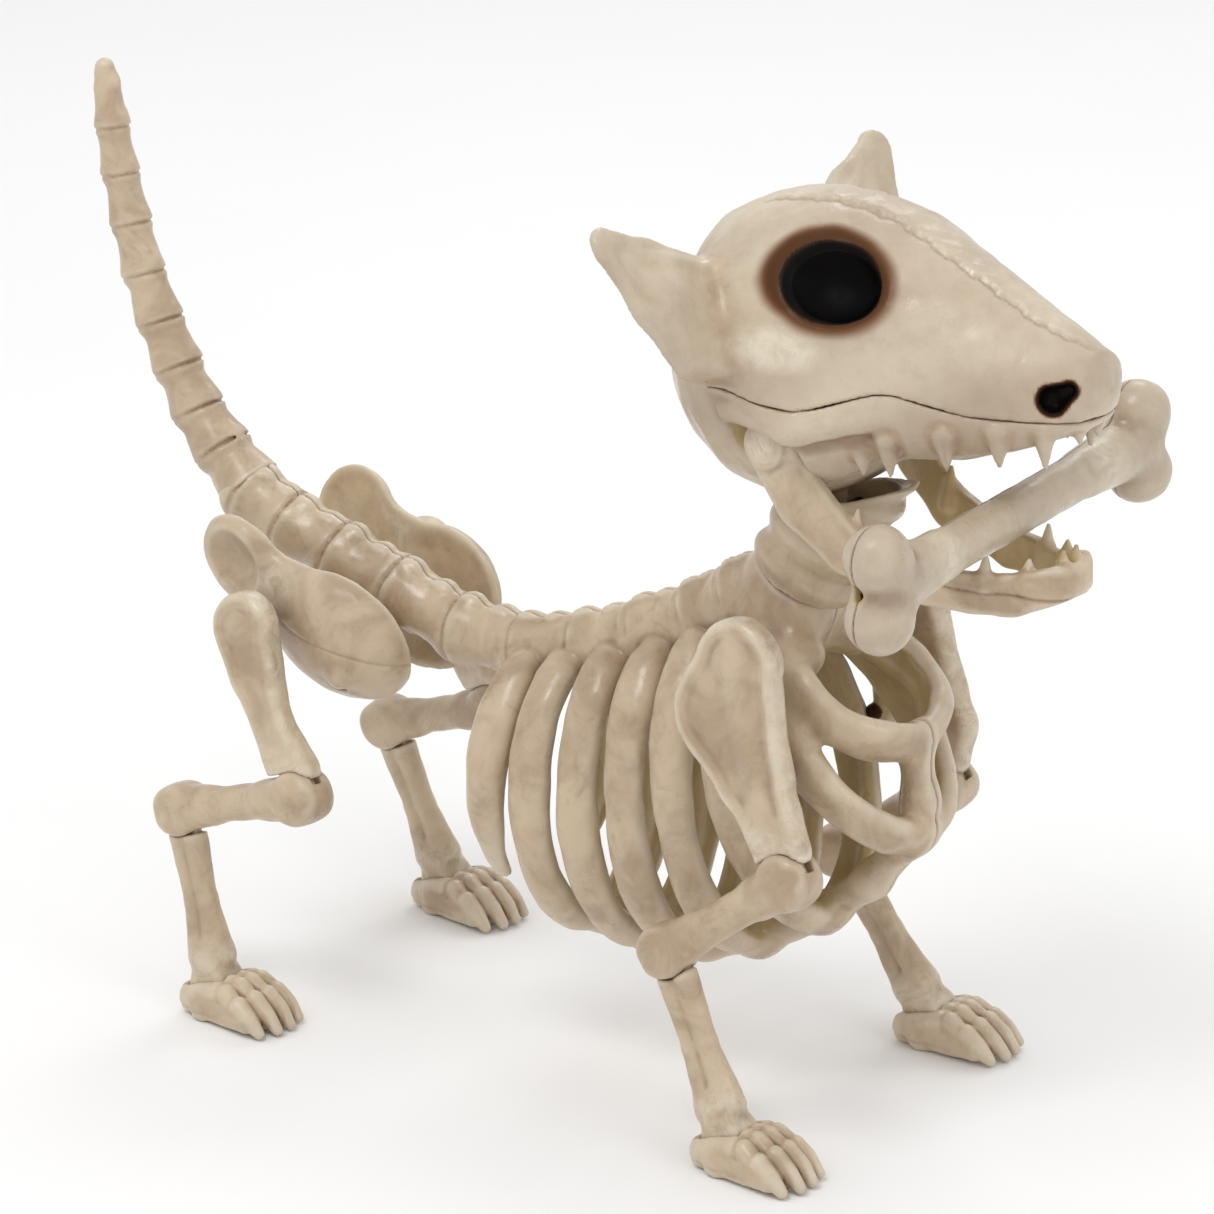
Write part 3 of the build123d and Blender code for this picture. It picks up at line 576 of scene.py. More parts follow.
def build_pelvis():
    wing = Sculpt((-150, 6, 100), (-40, 49, 190), 0.75)
    tilt = [[0.993, 0, -0.12], [0, 1, 0], [0.12, 0, 0.993]]
    rise = [[0.88, 0, 0.47], [0, 1, 0], [-0.47, 0, 0.88]]

    def leaning(shape):
        """Make a shape lean outwards towards its top."""
        distance, low, high = shape

        def leaned(x, y, z):
            return distance(x, y - wing_lean(z), z)
        return leaned, low - vec(2, 8, 2), high + vec(2, 17, 2)
    wing.add(leaning(egg((-124, 20, 160), (17.5, 11.5, 20), rise)))
    wing.add(leaning(egg((-108, 20, 149), (20, 11.5, 18.5))), 5)
    wing.add(leaning(egg((-85.5, 20, 139.5), (30.5, 17.0, 25.5), tilt)), 5)
    wing.cut(leaning(egg((-124.5, 33.5, 164), (12.0, 9.5, 14.5), rise)), 2.0)

    def seam(x, y, z):
        line = np.abs(z - wing_seam(x))
        return np.where((y > 24) & (x > -112) & (x < -54), -0.40 * bell(line, 0.62), 0)
    wing.shift(seam)
    solid = wing.field.copy()
    x, y, z = wing.everywhere()
    inner_face = 20.5 + wing_lean(z) - y + 2.0 * ramp(-solid, 1.5, 9)
    wing.field = smooth_max(solid, inner_face, 1.2).astype(np.float32)
    wing.cut(egg((-83, 37, 121.5), (4.6, 9, 3.0)), 0.8)
    wing.add(cone((-102, 8, 148), (-102, 30, 140), 7.0, 6.0), 3)
    wing.add(cone((-80, 8, 138), (-80, 34, 128), 6.5, 5.5), 3)
    wing.weather(0.15)

    def paint(p, normal):
        x, y, z = p.T
        line = np.abs(z - wing_seam(x))
        seam_line = bell(line, 0.8) * (y > 24) * (x > -112) * (x < -54)
        inner = ramp(-normal[:, 1], 0.1, 0.6)
        # Painted highlight: a pale spot high on the wing, in front of the rear lobe.
        painted_highlight = bell(x + 106, 9) * bell(z - 158, 7)
        return {"dark": 0.15 * seam_line, "bare": 0.22 * inner, "chalk_and_highlight": 0.7 * painted_highlight}
    for side, mirror in (("left", False), ("right", True)):
        wing.skin(f"pelvis_wing_{side}", "torso", [f"pelvis_{side}"], BONE, paint,
                  mirror=mirror)


# ---- Shoulder plates
def build_plates():
    for side, name in ((1, "left"), (-1, "right")):
        low, high = (vec(*c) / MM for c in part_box(f"shoulder_plate_{name}"))
        middle = (low + high) / 2
        plate = Sculpt(low - 4, high + 4, 0.8)
        foot = (middle[0] + 1, middle[1] + side * 2.4, low[2] + 9)
        head = (middle[0] - 1, middle[1] - side * 2.4, high[2] - 12)
        plate.add(cone(foot, head, 4.2, 4.8))
        plate.add(egg(head, (11, 4, 10)), 4)
        plate.weather(0.1)
        # A cross-head screw near the foot of the plate, driven from the inside.
        face = foot[1] - side * 4.2
        spot = (middle[0] - 1, foot[2] + 2)
        root, top = (spot[0], face + side * 1.5, spot[1]), (spot[0], face - side, spot[1])
        plate.add(cone(root, top, 3.0), 0.2)
        for dx, dz in ((2.3, 0), (0, 2.3)):
            plate.cut(cone((spot[0] - dx, face - side * 4.4, spot[1] - dz),
                           (spot[0] + dx, face - side * 4.4, spot[1] + dz), 0.6), 0.2)

        def paint(p, normal):
            x, y, z = p.T
            off = np.sqrt((x - spot[0]) ** 2 + (z - spot[1]) ** 2)
            return {"dark": 0.55 * (1 - ramp(off, 2.8, 3.6)) * (y * side < face * side)}
        plate.skin(f"shoulder_mount_{name}", "torso", [f"shoulder_plate_{name}"], BARE,
                   paint)


# ---- Tail
TAIL = [
    (-147.7, 176.7), (-161, 189), (-172, 202), (-181, 217), (-189, 233), (-196, 250),
    (-201.5, 268), (-206, 286), (-209, 303), (-211, 316), (-211.8, 323.8),
]
TAIL_RADII = (12.0, 10.9, 10.0, 9.4, 8.8, 8.2, 7.6, 7.1, 6.4, 4.8, 3.5)


def build_tail():
    tail = Sculpt((-226, -16, 162), (-136, 16, 334), 0.7)
    for index, (start, end) in enumerate(zip(TAIL, TAIL[1:])):
        r0, r1 = TAIL_RADII[index], TAIL_RADII[index + 1]
        split = between(start, end, 0.70)
        toward = (end[0] - start[0], 0, end[1] - start[1])
        tail.add(bar(start, split, r0 * 1.03, 0.80 * r0), 0.8)
        tail.add(bar(split, end, 0.80 * r0, r1), 0.8)
        tail.add(egg((start[0] + 0.45 * r0, 0, start[1] + 0.60 * r0), (3.4, 3.2, 3.4)), 2.0)
        if 0 < index < 9:
            tail.cut(ring_groove((start[0], 0, start[1] - 1.2), toward, r0 * 1.02, 0.75), 0.7)
    base, rise = vec(TAIL[0][0], 0, TAIL[0][1]), vec(-13.3, 0, 12.3)
    rise /= np.linalg.norm(rise)
    tail.keep(lambda x, y, z: -((x - base[0]) * rise[0] + (z - base[2]) * rise[2]), 0.8)
    tail.weather(0.20)
    tail.skin("tail_bone", "tail", ["tail"], BONE)


# ---- Neck collar
def build_collar():
    collar = Sculpt((64, -25, 182), (142, 25, 236), 0.7)

    def cup(radius, start):
        def distance(x, y, z):
            height, ahead = neck_height(x, z), neck_side(x, z)
            swell = np.sin(height * 0.50 + 0.10 * y)
            return np.maximum(np.sqrt(ahead ** 2 + y ** 2) - radius - swell, start - height)
        return distance
    collar.field = cup(COLLAR_RADIUS - 1.4, 0.3)(*collar.everywhere()).astype(np.float32)
    collar.keep(lambda x, y, z: -cup(COLLAR_RADIUS - 3.8, COLLAR_FILL)(x, y, z), 0.8)
    collar.keep(lambda x, y, z: (z - 216.3) * 0.972 - (x - 82) * 0.232, 1.0)
    collar.weather(0.12)

    def paint(p, normal):
        x, y, z = p.T
        inner = ramp(COLLAR_RADIUS - 2.6 - np.sqrt(neck_side(x, z) ** 2 + y ** 2), 0, 1.2)
        return {"bare": 0.4 * inner, "plain": inner}
    collar.skin("neck_cup", "neck", ["neck_collar"], BONE, paint)


# ---- Skull
# Skull sections: x, lowest z, highest z, half width, squareness of the lower half (1 is round).
SKULL = [
    (50, 262, 272, 2, 1), (52, 248, 286, 15, 1), (57, 240, 300, 26, 1), (67, 231, 315, 37, 1),
    (80, 223.5, 321.5, 44.5, 1), (93, 221, 324.6, 47.5, 1), (107, 223, 326.2, 48.5, 0.9),
    (120, 229, 325.8, 47, 0.8), (135, 241, 323, 41, 0.6), (150, 246, 316, 34.5, 0.5),
    (167, 248, 308, 29, 0.5), (186, 254, 298.5, 23.5, 0.5), (199, 259.5, 292.5, 18.5, 0.6),
    (208, 264, 288.5, 14, 0.75), (212.5, 271, 282, 4, 1),
]
SEAM = [(40, 272), (64, 271), (92, 268), (108, 264), (123, 264), (139, 270), (148, 273), (158, 270),
        (173, 267), (194, 267), (225, 268)]
EYE, EYE_RADII = (127.8, 37.5, 308.0), (18.1, 12.5, 14.8)
NOSTRIL = cone((200.6, 16.6, 275.2), (205.0, 14.2, 278.4), 4.3, 2.0)
EAR_TIP = (67.7, 85, 323)
JAW_HINGE = (105, 248)
HEAD_PIVOT = (106, 214)
UPPER_TEETH = [(137, 31, 9), (147, 30.5, 10), (166, 26.5, 9), (183, 21.5, 10), (196, 14.5, 12),
               (203.5, 6, 6)]
SKULL_WALL = 2.6
SKULL_GRID = (44, 0, 214), (222, 90, 334), 0.97


def smooth_curve(points, spread):
    """Table of a broken line with its corners rounded off."""
    at = np.arange(points[0][0], points[-1][0] + 0.5, 1.0)
    value = np.interp(at, [p[0] for p in points], [p[1] for p in points])
    weight = bell(np.arange(-3 * spread, 3 * spread + 1), spread)
    padded = np.pad(value, 3 * spread, mode="edge")
    return at, np.convolve(padded, weight / weight.sum(), mode="valid")


SEAM_TABLE = smooth_curve(SEAM, 6)


def seam_height(x):
    return np.interp(x, *SEAM_TABLE).astype(np.float32)


def skull_outside(x, y, z):
    table = np.array(SKULL, float)
    row = [np.interp(x, table[:, 0], table[:, i]).astype(np.float32) for i in range(1, 5)]
    low, high, half, square = row
    middle, tall = (low + high) / 2, (high - low) / 2
    power = np.where(z < middle, 2 / np.clip(square, 0.5, 1), 2.0)
    u, v = np.abs(y) / half, np.abs(z - middle) / tall
    size = (u ** power + v ** power + 1e-8) ** (1 / power)
    return (size - 1) * np.minimum(half, tall) * (0.5 + 0.5 * np.clip(np.minimum(half, tall) / 20, 0, 1))


EYE_AXES = axes_from((0.37, 0.72, 0.58), (1, 0, 0))
EAR_AXES = axes_from((0.30, -0.78, -0.55), (0.825, -0.08, 0.56))


def ear(x, y, z):
    """An ear in its own axes: t ahead, s inwards from the tip and w across."""
    d = (x - EAR_TIP[0], y - EAR_TIP[1], z - EAR_TIP[2])
    t, s, w = (sum(a * b for a, b in zip(d, axis)) for axis in EAR_AXES)
    w = -w
    flat = outline([(7.6, 0, 7.2), (30, -2.0, 15.6), (52, -3.0, 22.0)], s, w)
    inset = np.clip(-(flat + 1.3) / 6.0, 0, 1)
    dish = 2.9 * inset * ramp(s, 5, 18) * (1 - ramp(s, 20, 38))
    fold = 1.1 * bell(w - 0.30 * s + 2, 2.6) * ramp(s, 14, 24)
    face = t - 1.0 + 0.010 * w * w - 0.05 * s + dish - fold
    rear = -(t + 2.1 + 0.012 * w * w + 0.05 * s)
    return rounded(flat, np.maximum(face, rear), 1.3)


def crest_inset(x, y):
    """How far inside the wavy edge of the strip along the top of the skull."""
    return 8.4 - 0.02 * (x - 90) - 5 * ramp(x, 186, 210) + 0.5 * np.sin(0.55 * x) + 0.35 * np.sin(
        1.27 * x + 1) - np.abs(y)


def build_skull():
    whole = Sculpt(*SKULL_GRID)
    x, y, z = whole.everywhere()
    whole.field = skull_outside(x, y, z).astype(np.float32)
    whole.normalise()
    ends = np.maximum(49.5 - x, x - 212.5)
    whole.field = smooth_max(whole.field, ends, 3.0).astype(np.float32)
    whole.add((ear, vec(44, 20, 250), vec(126, 90, 334)), 9)

    def crest(x, y, z):
        inset = crest_inset(x, y)
        rough = 0.16 * np.sin(0.83 * x + 2.3 * np.sin(0.37 * y + 0.11 * x)) * np.sin(0.9 * y + 0.05 * x)
        raised = (1.25 + rough) * ramp(inset, -0.6, 0.8) - 0.45 * bell(inset + 1.3, 0.8)
        return raised * ramp(x, 78, 92) * (1 - ramp(x, 200, 210)) * (z > 282 + 0.18 * (210 - x))
    whole.shift(crest)
    whole.cut(egg(EYE, EYE_RADII, EYE_AXES), 3.5)
    whole.cut(NOSTRIL, 1.6)
    # Facet line down the muzzle behind the nostril.
    whole.shift(lambda x, y, z: -0.4 * bell(x - 187.5 - 0.1 * (z - 270), 0.7)
                * (z > 264) * (z < 288) * (y > 8))
    # Recess under the cheek for the jaw's upright arm, with the cheek rolled over it.
    whole.cut(cone((JAW_HINGE[0] - 1, 47, JAW_HINGE[1]), (117, 47, 222), 13.5, 18), 2.5)
    whole.add(cone((94, 44.5, 260.0), (119, 42.0, 257.5), 3.6, 6.4), 3.5)
    whole.add(cone((119, 42.0, 257.5), (142, 33.5, 262.0), 6.4, 2.8), 3.5)
    whole.cut(cone((118, 44.5, 248.5), (143, 34.8, 256.5), 3.2, 1.3), 1.4)
    skull = whole.field.copy()
    inside = skull + SKULL_WALL

    for upper in (True, False):
        half = Sculpt(*SKULL_GRID)
        line = seam_height(x)
        side = 1 if upper else -1
        half.field = smooth_max(skull, side * (line - z) + 0.07, 0.35).astype(np.float32)
        half.field = np.maximum(half.field, -inside).astype(np.float32)
        if not upper:
            half.add(bar(HEAD_PIVOT, (HEAD_PIVOT[0], 232), 4.4, 5.2), 1.5)
            for tx, ty, length in UPPER_TEETH:
                root = 252 + (tx - UPPER_TEETH[0][0]) * 0.2
                tip = (tx + 1.0, ty - 0.4, root - length - 0.6)
                half.add(cone((tx, ty, root + 2), tip, 4.9, 0.8), 1.8)
            half.keep(lambda x, y, z: z - seam_height(x) + 0.13, 0.3)
        half.unfold()
        half.weather(0.16)

        def paint(p, normal):
            q = p.copy()
            q[:, 1] = np.abs(q[:, 1])
            x, y, z = q.T
            reach = vec(*EYE_RADII) + vec(1.5, 3, 1.5)
            turned = (q - vec(*EYE) - vec(-1.2, 0, 1.0)) @ EYE_AXES.T / reach
            eye = np.sqrt((turned ** 2).sum(1))
            nose = NOSTRIL[0](x, y, z)
            halo = eye - 0.22 * np.clip((z - x + 128 - 308) / 24, 0, 1)
            rim = np.maximum(1 - ramp(eye, 0.90, 1.03), 0.46 * (1 - ramp(halo, 0.96, 1.48)))
            dark = np.maximum(rim, 1 - ramp(nose, -0.4, 2.8))
            above = np.abs(z - seam_height(x))
            outer = -skull_outside(x, y, z) < 2.2
            dark = np.maximum(dark, 0.24 * bell(above, 0.7) * outer)
            # Painted shade in the crease under the rolled cheek.
            fold = cone((118, 43.5, 249), (143, 34.2, 256.5), 2.2)[0](x, y, z)
            dark = np.maximum(dark, 0.20 * (1 - ramp(fold, 0, 3.5)))
            inner = ramp(-skull_outside(x, y, z), 1.6, 2.4)
            # Painted highlight: a glossy pale patch under each eye, which also thins the stain there.
            painted_highlight = 1 - ramp(np.sqrt((((q - vec(113, 46, 284)) / vec(20, 14, 9)) ** 2).sum(1)), 0.4, 1.1)
            strip = crest_inset(x, y)
            on_top = (z > 284) * (x > 84) * (x < 205)
            # Painted highlight along the edge of the raised top strip, and a painted shade line just
            # outside it, to show its low step.
            edge = bell(strip - 0.7, 0.6) * on_top
            dark = np.maximum(dark, 0.20 * bell(strip + 0.9, 0.7) * on_top)
            wander = np.sin(0.071 * x + 1.9 * np.sin(0.052 * z + 0.7)) + np.sin(
                0.11 * z - 0.083 * x + 1.3 * np.sin(0.13 * y))
            stained = np.clip(0.105 + 0.035 * wander, 0.03, 0.18) * (1 - 0.8 * painted_highlight)
            bare = 0.9 * inner * (dark < 0.1)
            dark = np.maximum(dark, stained * (1 - inner))
            return {"dark": dark, "bare": bare, "chalk_and_highlight": np.maximum(painted_highlight, 0.8 * edge)}
        if upper:
            half.skin("skull_crown", "head", ["skull_top"], BONE, paint)
        else:
            half.skin("skull_muzzle", "head", ["skull_base"], BONE, paint)


def build_eyes():
    for side, name in ((1, "left"), (-1, "right")):
        flip = vec(1, side, 1)
        centre = vec(*EYE) * flip
        turn = EYE_AXES * flip
        radii = vec(*EYE_RADII)
        cup = Sculpt(centre - 23, centre + 23, 0.7)
        cup.add(egg(tuple(centre), tuple(radii + 1.6), turn))
        cup.cut(egg(tuple(centre), tuple(radii - 0.25), turn), 0.3)
        cup.keep(lambda x, y, z: skull_outside(x, y, z) + 2.3, 0.3)
        cup.skin(f"eye_cup_{name}", "head", ["eye_cups"], BLACK)


# ---- Jaw
JAW_SIDE = [(105, 248, 8.5), (117, 229, 9), (133, 214.5, 8), (160, 207, 7), (186, 205.5, 7),
            (199, 210, 6.5)]
JAW_PLAN = [(98, 0, 41), (135, 0, 32.5), (165, 0, 26), (189, 0, 16)]
JAW_WALL = 5.2
LOWER_TEETH = [(134, 28.5, 216, 13), (178, 19.5, 208, 11), (190, 12, 210, 8), (198, 4, 212, 8)]


def jaw_seam(x, z):
    """How far above the seam line of the jaw."""
    return (z - 208) + 0.08 * (x - 165)


def build_jaw():
    jaw = Sculpt((94, 0, 194), (212, 46, 262), 0.75)
    x, y, z = jaw.everywhere()
    plan = outline(JAW_PLAN, x, y)
    band = np.abs(plan + JAW_WALL / 2) - JAW_WALL / 2
    jaw.field = smooth_max(band, outline(JAW_SIDE, x, z), 2.2).astype(np.float32)
    jaw.add(egg((JAW_HINGE[0], 35.5, JAW_HINGE[1]), (9, 4.4, 9)), 2.0)
    jaw.add(egg((JAW_HINGE[0] - 0.5, 39.4, JAW_HINGE[1] + 0.5), (7.6, 2.4, 9.0)), 0.5)
    jaw.shift(lambda x, y, z: -0.55 * bell(jaw_seam(x, z), 0.5)
              * (x > 138) * (outline(JAW_PLAN, x, y) > -1.5))
    for tx, ty, root, length in LOWER_TEETH:
        jaw.add(cone((tx, ty, root), (tx + 0.6, ty, root + length), 3.9, 0.8), 1.8)
    jaw.unfold()
    jaw.weather(0.10)

    def paint(p, normal):
        x, y, z = p.T
        depth = -outline(JAW_PLAN, x, np.abs(y))
        seam = bell(jaw_seam(x, z), 0.7) * (x > 138) * (depth < 1.5)
        plate = bell(x - 105, 9) * bell(z - 247, 10) * (np.abs(y) > 34)
        return {"bare": 0.9 * ramp(depth, 3.6, 4.8), "dark": 0.25 * seam, "chalk_and_highlight": 0.9 * plate}
    jaw.skin("jaw_band", "jaw", ["jaw"], BONE, paint)


# ---- Toy bone
BONE_HALF_SPAN, LOBE_RADIUS, LOBE_OFFSET = 77, 11.3, 10.5
BONE_SEAM, BONE_WALL = -3.0, 2.2
BONE_PIT = (-83.4, 0.8, -3.2)


def build_toy_bone():
    up, along, back = axes_from((4.3, 154, 11.7), (0, 0, 1))
    place = placement(along, up, -back, (176.5, 0, 228))
    for name, sign in (("front", 1), ("back", -1)):
        bone = Sculpt((-92, -25, -14), (92, 25, 14), 0.8)
        bone.add(cone((-60, 0, 0), (60, 0, 0), 7.9))
        for end in (1, -1):
            bone.add(cone((end * 44, 0, 0), (end * 72, 0, 0), 7.6, 11.0), 4)
            for lobe in (1, -1):
                bone.add(ball((end * BONE_HALF_SPAN, lobe * LOBE_OFFSET, 0), LOBE_RADIUS), 5)
        bone.shift(lambda x, y, z: -0.35 * bell(x + 8, 0.8))
        bone.weather(0.14)
        solid = bone.field.copy()
        bone.field = np.maximum(solid, -(solid + BONE_WALL)).astype(np.float32)
        bone.cut(egg(BONE_PIT, (2.6, 3.0, 2.4)), 0.3)
        bone.keep(lambda x, y, z: sign * (BONE_SEAM - z) + 0.10, 0.45)

        def paint(p, normal):
            x, z = p[:, 0], p[:, 2]
            inside = bone.sample(-solid, (p - bone.low) / bone.cell)
            seam = bell(z - BONE_SEAM, 0.75)
            patch = bell(np.abs(x) - 47, 8)
            pit = 1 - ramp(np.sqrt(((p - vec(*BONE_PIT)) ** 2).sum(1)), 3.4, 4.6)
            return {"bare": np.maximum(0.95 * ramp(inside, 0.9, 1.6), 0.9 * pit),
                    "dark": np.maximum(0.10 - 0.06 * patch, 0.22 * seam) * (inside < 0.9) * (1 - pit),
                    "chalk_and_highlight": 0.8 * patch}
        bone.skin(f"toy_bone_shell_{name}", "toy_bone", [f"toy_bone_{name}"], TOY,
                  paint, place)


# ---- Legs
KNOB_RADIUS, ANKLE_RADIUS, TONGUE, WEB_RADIUS, GAP = 9.6, 8.4, 4.0, 4.0, 0.4
KNEE_DISC, WRIST_DISC, ANKLE_DISC = 8.0, 7.6, 6.6
KNOB_HALF = 7.7
PAW_LOW, PAW_HIGH = vec(-14, -16, -1.5), vec(38, 16, 23)
SOLE = 0.12                 # the sole is this far above the floor
LANE = 6.7                  # from one toe to the next
KNEE_TRAVEL = {"front": (-10, 45), "hind": (-6, 40)}
WRIST_TRAVEL, ANKLE_TRAVEL = (-40, 10), (-18, 18)
TOE_TURN = {"front_right": -4.7, "front_left": 1.8, "hind_right": -5.2, "hind_left": -8.0}
JOINT_NAMES = {"front": ("shoulder", "elbow", "wrist", "ankle"), "hind": ("hip", "knee", "hock", "ankle")}


def polar(centre, angle, length):
    return (centre[0] + length * cos(radians(angle)), centre[1] + length * sin(radians(angle)))


def heading(start, end):
    return degrees(atan2(end[1] - start[1], end[0] - start[0]))


def joint_spot(name):
    """Where a joint is in the frame, in millimetres."""
    return vec(*JOINTS[name]["pos_m"]) / MM


def leg_place(name, side):
    """Matrix from a leg's own millimetres, x ahead, y up the leg and z right, to the frame."""
    pair = name.split("_")[0]
    ahead, up = vec(1, 0, 0), vec(0, -side * sin(SPLAY), cos(SPLAY))
    return placement(ahead, up, np.cross(ahead, up), joint_spot(f"{name}_{JOINT_NAMES[pair][0]}"))


def knob(place, radius, half):
    """A joint knob: a short drum with well rounded rims."""
    return slab([(*place, radius - 0.01), (place[0] + 0.01, place[1], radius)], half, 2.8)


def wedge(place, toward, travel, disc_radius):
    """Slot for a neighbour's tongue, open over the arc that it swings in."""
    spread = degrees(asin((WEB_RADIUS + GAP) / (disc_radius + GAP))) + 2
    reach = disc_radius + 4
    first, last = toward - travel[1] - spread, toward - travel[0] + spread
    middle, half = radians((first + last) / 2), radians((last - first) / 2)

    def distance(x, y, z):
        u, v = x - place[0], y - place[1]
        disc = np.sqrt(u * u + v * v) - (disc_radius + GAP)
        turned = np.arctan2(v, u) - middle
        turned = (turned + np.pi) % (2 * np.pi) - np.pi
        sector = (np.abs(turned) - half) * np.sqrt(u * u + v * v)
        return np.maximum(np.minimum(disc, sector), np.abs(z) - (TONGUE / 2 + GAP))
    low = vec(place[0] - reach, place[1] - reach, -4)
    return distance, low, vec(place[0] + reach, place[1] + reach, 4)


def tongue(place, root, disc_radius):
    """The flat tongue of a hinge: a disc that fills its neighbour's slot, and its root."""
    return slab([(*place, disc_radius), (*root, WEB_RADIUS)], TONGUE / 2, 0.5)


def room(place, radius, shaft, angle):
    """The space that a neighbour's knob and shaft need."""
    circles = [(*place, radius + GAP), (*polar(place, angle, 13), shaft + GAP),
               (*polar(place, angle, 39), shaft + GAP)]
    return slab(circles, 12, 0.4)


def build_leg(name, side):
    pair = name.split("_")[0]
    place = leg_place(name, side)
    back_again = np.linalg.inv(place)

    def local(joint):
        spot = np.append(joint_spot(f"{name}_{joint}"), 1)
        return tuple(float(c) for c in (back_again @ spot)[:2])
    hip, knee, wrist, ankle = (local(joint) for joint in JOINT_NAMES[pair])
    outer = -side                      # sign of local z that faces away from the body
    travel = KNEE_TRAVEL[pair]
    up_thigh, back, down = heading(knee, hip), heading(knee, wrist), heading(wrist, ankle)

    def limits(points, margin):
        array = np.array(points)
        low, high = array.min(0) - margin, array.max(0) + margin
        return (low[0], low[1], -11), (high[0], high[1], 11)

    # Upper bone: a broad blade with a raised rim and a ridge between two hollows.
    upper = Sculpt(*limits([hip, knee], 30 if pair == "front" else 26), 0.75)
    if pair == "front":
        blade = [(1.5, -1, 16.0), (-1, -18, 20.6), (9.5, -37, 14.8), (17, -50, 11.0),
                 (*polar(knee, up_thigh, 10), 10.4)]
        ridge, rim = [(1, 10, 0), (2, -12, 0), (15, -48, 0), (21, -62, 0)], 1.9
    else:
        blade = [(0.5, 0, 13.2), (5.5, -15, 10.6), (13.5, -32, 7.4), (*polar(knee, up_thigh, 9), 10.2)]
        ridge, rim = [(9, 6, 0), (12, -16, 0), (18, -34, 0)], 1.2
    upper.add(slab(blade, 5.5, 4.2))

    def hollows(x, y, z):
        deep = -outline(blade, x, y)
        apart = outline(ridge, x, y)
        lower_end = ramp(-y, -knee[1] - 26, -knee[1] - 14)
        off_pivot = ramp(np.sqrt(x * x + y * y), 2.5, 9.0)
        return -rim * ramp(deep, 1.6, 7.0) * (0.25 + 0.75 * ramp(apart, 0, 7.0)) * (
            1 - lower_end) * off_pivot * ramp(z * outer, 0, 2)
    upper.shift(hollows)
    upper.cut(room(knee, KNOB_RADIUS, 6.8, back + travel[0]), 0.8)
    upper.add(tongue(knee, polar(knee, up_thigh, 16), KNEE_DISC), 0.3)
    upper.weather(0.18)

    def paint_upper(p, normal):
        x, y, z = p.T
        end = ramp(-y, -knee[1] - 24, -knee[1] - 8)
        deep = -outline(blade, x, y)
        dished = ramp(deep, 2.5, 7) * ramp(outline(ridge, x, y), 0.5, 5) * (1 - end)
        slot_room = np.sqrt((x - knee[0]) ** 2 + (y - knee[1]) ** 2)
        return {"chalk_and_highlight": np.maximum(0.75 * end, 0.6 * (1 - ramp(deep, 1.0, 3.6))),
                "plain": 1 - ramp(slot_room, 10.5, 12.0),
                "dark": 0.08 * dished * (z * outer > 0)}
    upper.skin(f"{name}_thigh_bone", f"{name}_thigh", [f"{name}_upper"], BONE, paint_upper,
               place)

    # Middle bone: a waisted shaft between two knobs with condyles.
    middle = Sculpt(*limits([knee, wrist], 16), 0.7)
    middle.add(knob(knee, KNOB_RADIUS, KNOB_HALF))
    middle.add(knob(wrist, KNOB_RADIUS - 0.4, KNOB_HALF))
    shaft = [knee, polar(knee, back, 13), polar(wrist, back + 180, 13), wrist]
    radii = (8.2, 6.7, 6.3, 7.4)
    for index in range(3):
        start, end = shaft[index], shaft[index + 1]
        middle.add(cone((*start, 0), (*end, 0), radii[index], radii[index + 1]), 5)
    for spot, turn in ((knee, back), (wrist, back + 180)):
        far_side, near_side = polar(spot, turn + 180, 12), polar(spot, turn + 180, 3)
        middle.cut(cone((*far_side, outer * 10.2), (*near_side, outer * 11.2), 3.6, 2.6), 2.6)
    middle.cut(wedge(knee, up_thigh, travel, KNEE_DISC), 0.3)
    middle.cut(wedge(wrist, down, (-WRIST_TRAVEL[1], -WRIST_TRAVEL[0]), WRIST_DISC), 0.3)
    middle.weather(0.14)

    def paint_middle(p, normal):
        x, y, z = p.T
        near = [np.sqrt((x - spot[0]) ** 2 + (y - spot[1]) ** 2) for spot in (knee, wrist)]
        inside_slot = (np.minimum(*near) < 11) * (np.abs(z) < 3.4)
        return {"plain": inside_slot.astype(float)}
    middle.skin(f"{name}_forearm_bone", f"{name}_forearm", [f"{name}_middle"], BONE,
                paint_middle, place)

    # Lower bone: two fused rods that flare at the ankle.
    lower = Sculpt(*limits([wrist, ankle], 15), 0.7)
    across = vec(-sin(radians(down)), cos(radians(down)))

    def beside(spot, amount):
        return (spot[0] + across[0] * amount, spot[1] + across[1] * amount)
    head, waist = polar(wrist, down, 10), polar(wrist, down, 34)
    foot = polar(ankle, down + 180, 10)
    for sign in (1, -1):
        lower.add(cone((*beside(head, 3.0 * sign), 0), (*beside(waist, 2.9 * sign), 0), 4.8, 3.8), 1.6)
        lower.add(cone((*beside(waist, 2.9 * sign), 0), (*beside(foot, 4.2 * sign), 0), 3.8, 5.6), 1.6)
    lower.add(cone((*foot, -1.6), (*foot, 1.6), 6.8), 3)
    lower.add(knob(ankle, ANKLE_RADIUS - 0.3, KNOB_HALF), 3)
    lower.cut(room(wrist, KNOB_RADIUS, 6.2, back + 180 - WRIST_TRAVEL[1]), 0.8)
    lower.add(tongue(wrist, polar(wrist, down, 16), WRIST_DISC), 0.3)
    lower.cut(wedge(ankle, -52, ANKLE_TRAVEL, ANKLE_DISC), 0.3)
    lower.weather(0.14)

    def paint_shank(p, normal):
        x, y = p[:, 0], p[:, 1]
        near = beside((0, 0), 1)
        off = np.abs((x - waist[0]) * near[0] + (y - waist[1]) * near[1])
        along = (x - wrist[0]) * cos(radians(down)) + (y - wrist[1]) * sin(radians(down))
        groove = (1 - ramp(off, 0.4, 2.6)) * ramp(along, 10, 18) * (1 - ramp(along, 46, 54))
        return {"dark": 0.08 * groove, "chalk_and_highlight": 0.5 * ramp(along, 44, 56)}
    lower.skin(f"{name}_shank_bone", f"{name}_shank", [f"{name}_lower"], BONE, paint_shank,
               place)

    build_paw(name, side, place, ankle, down)


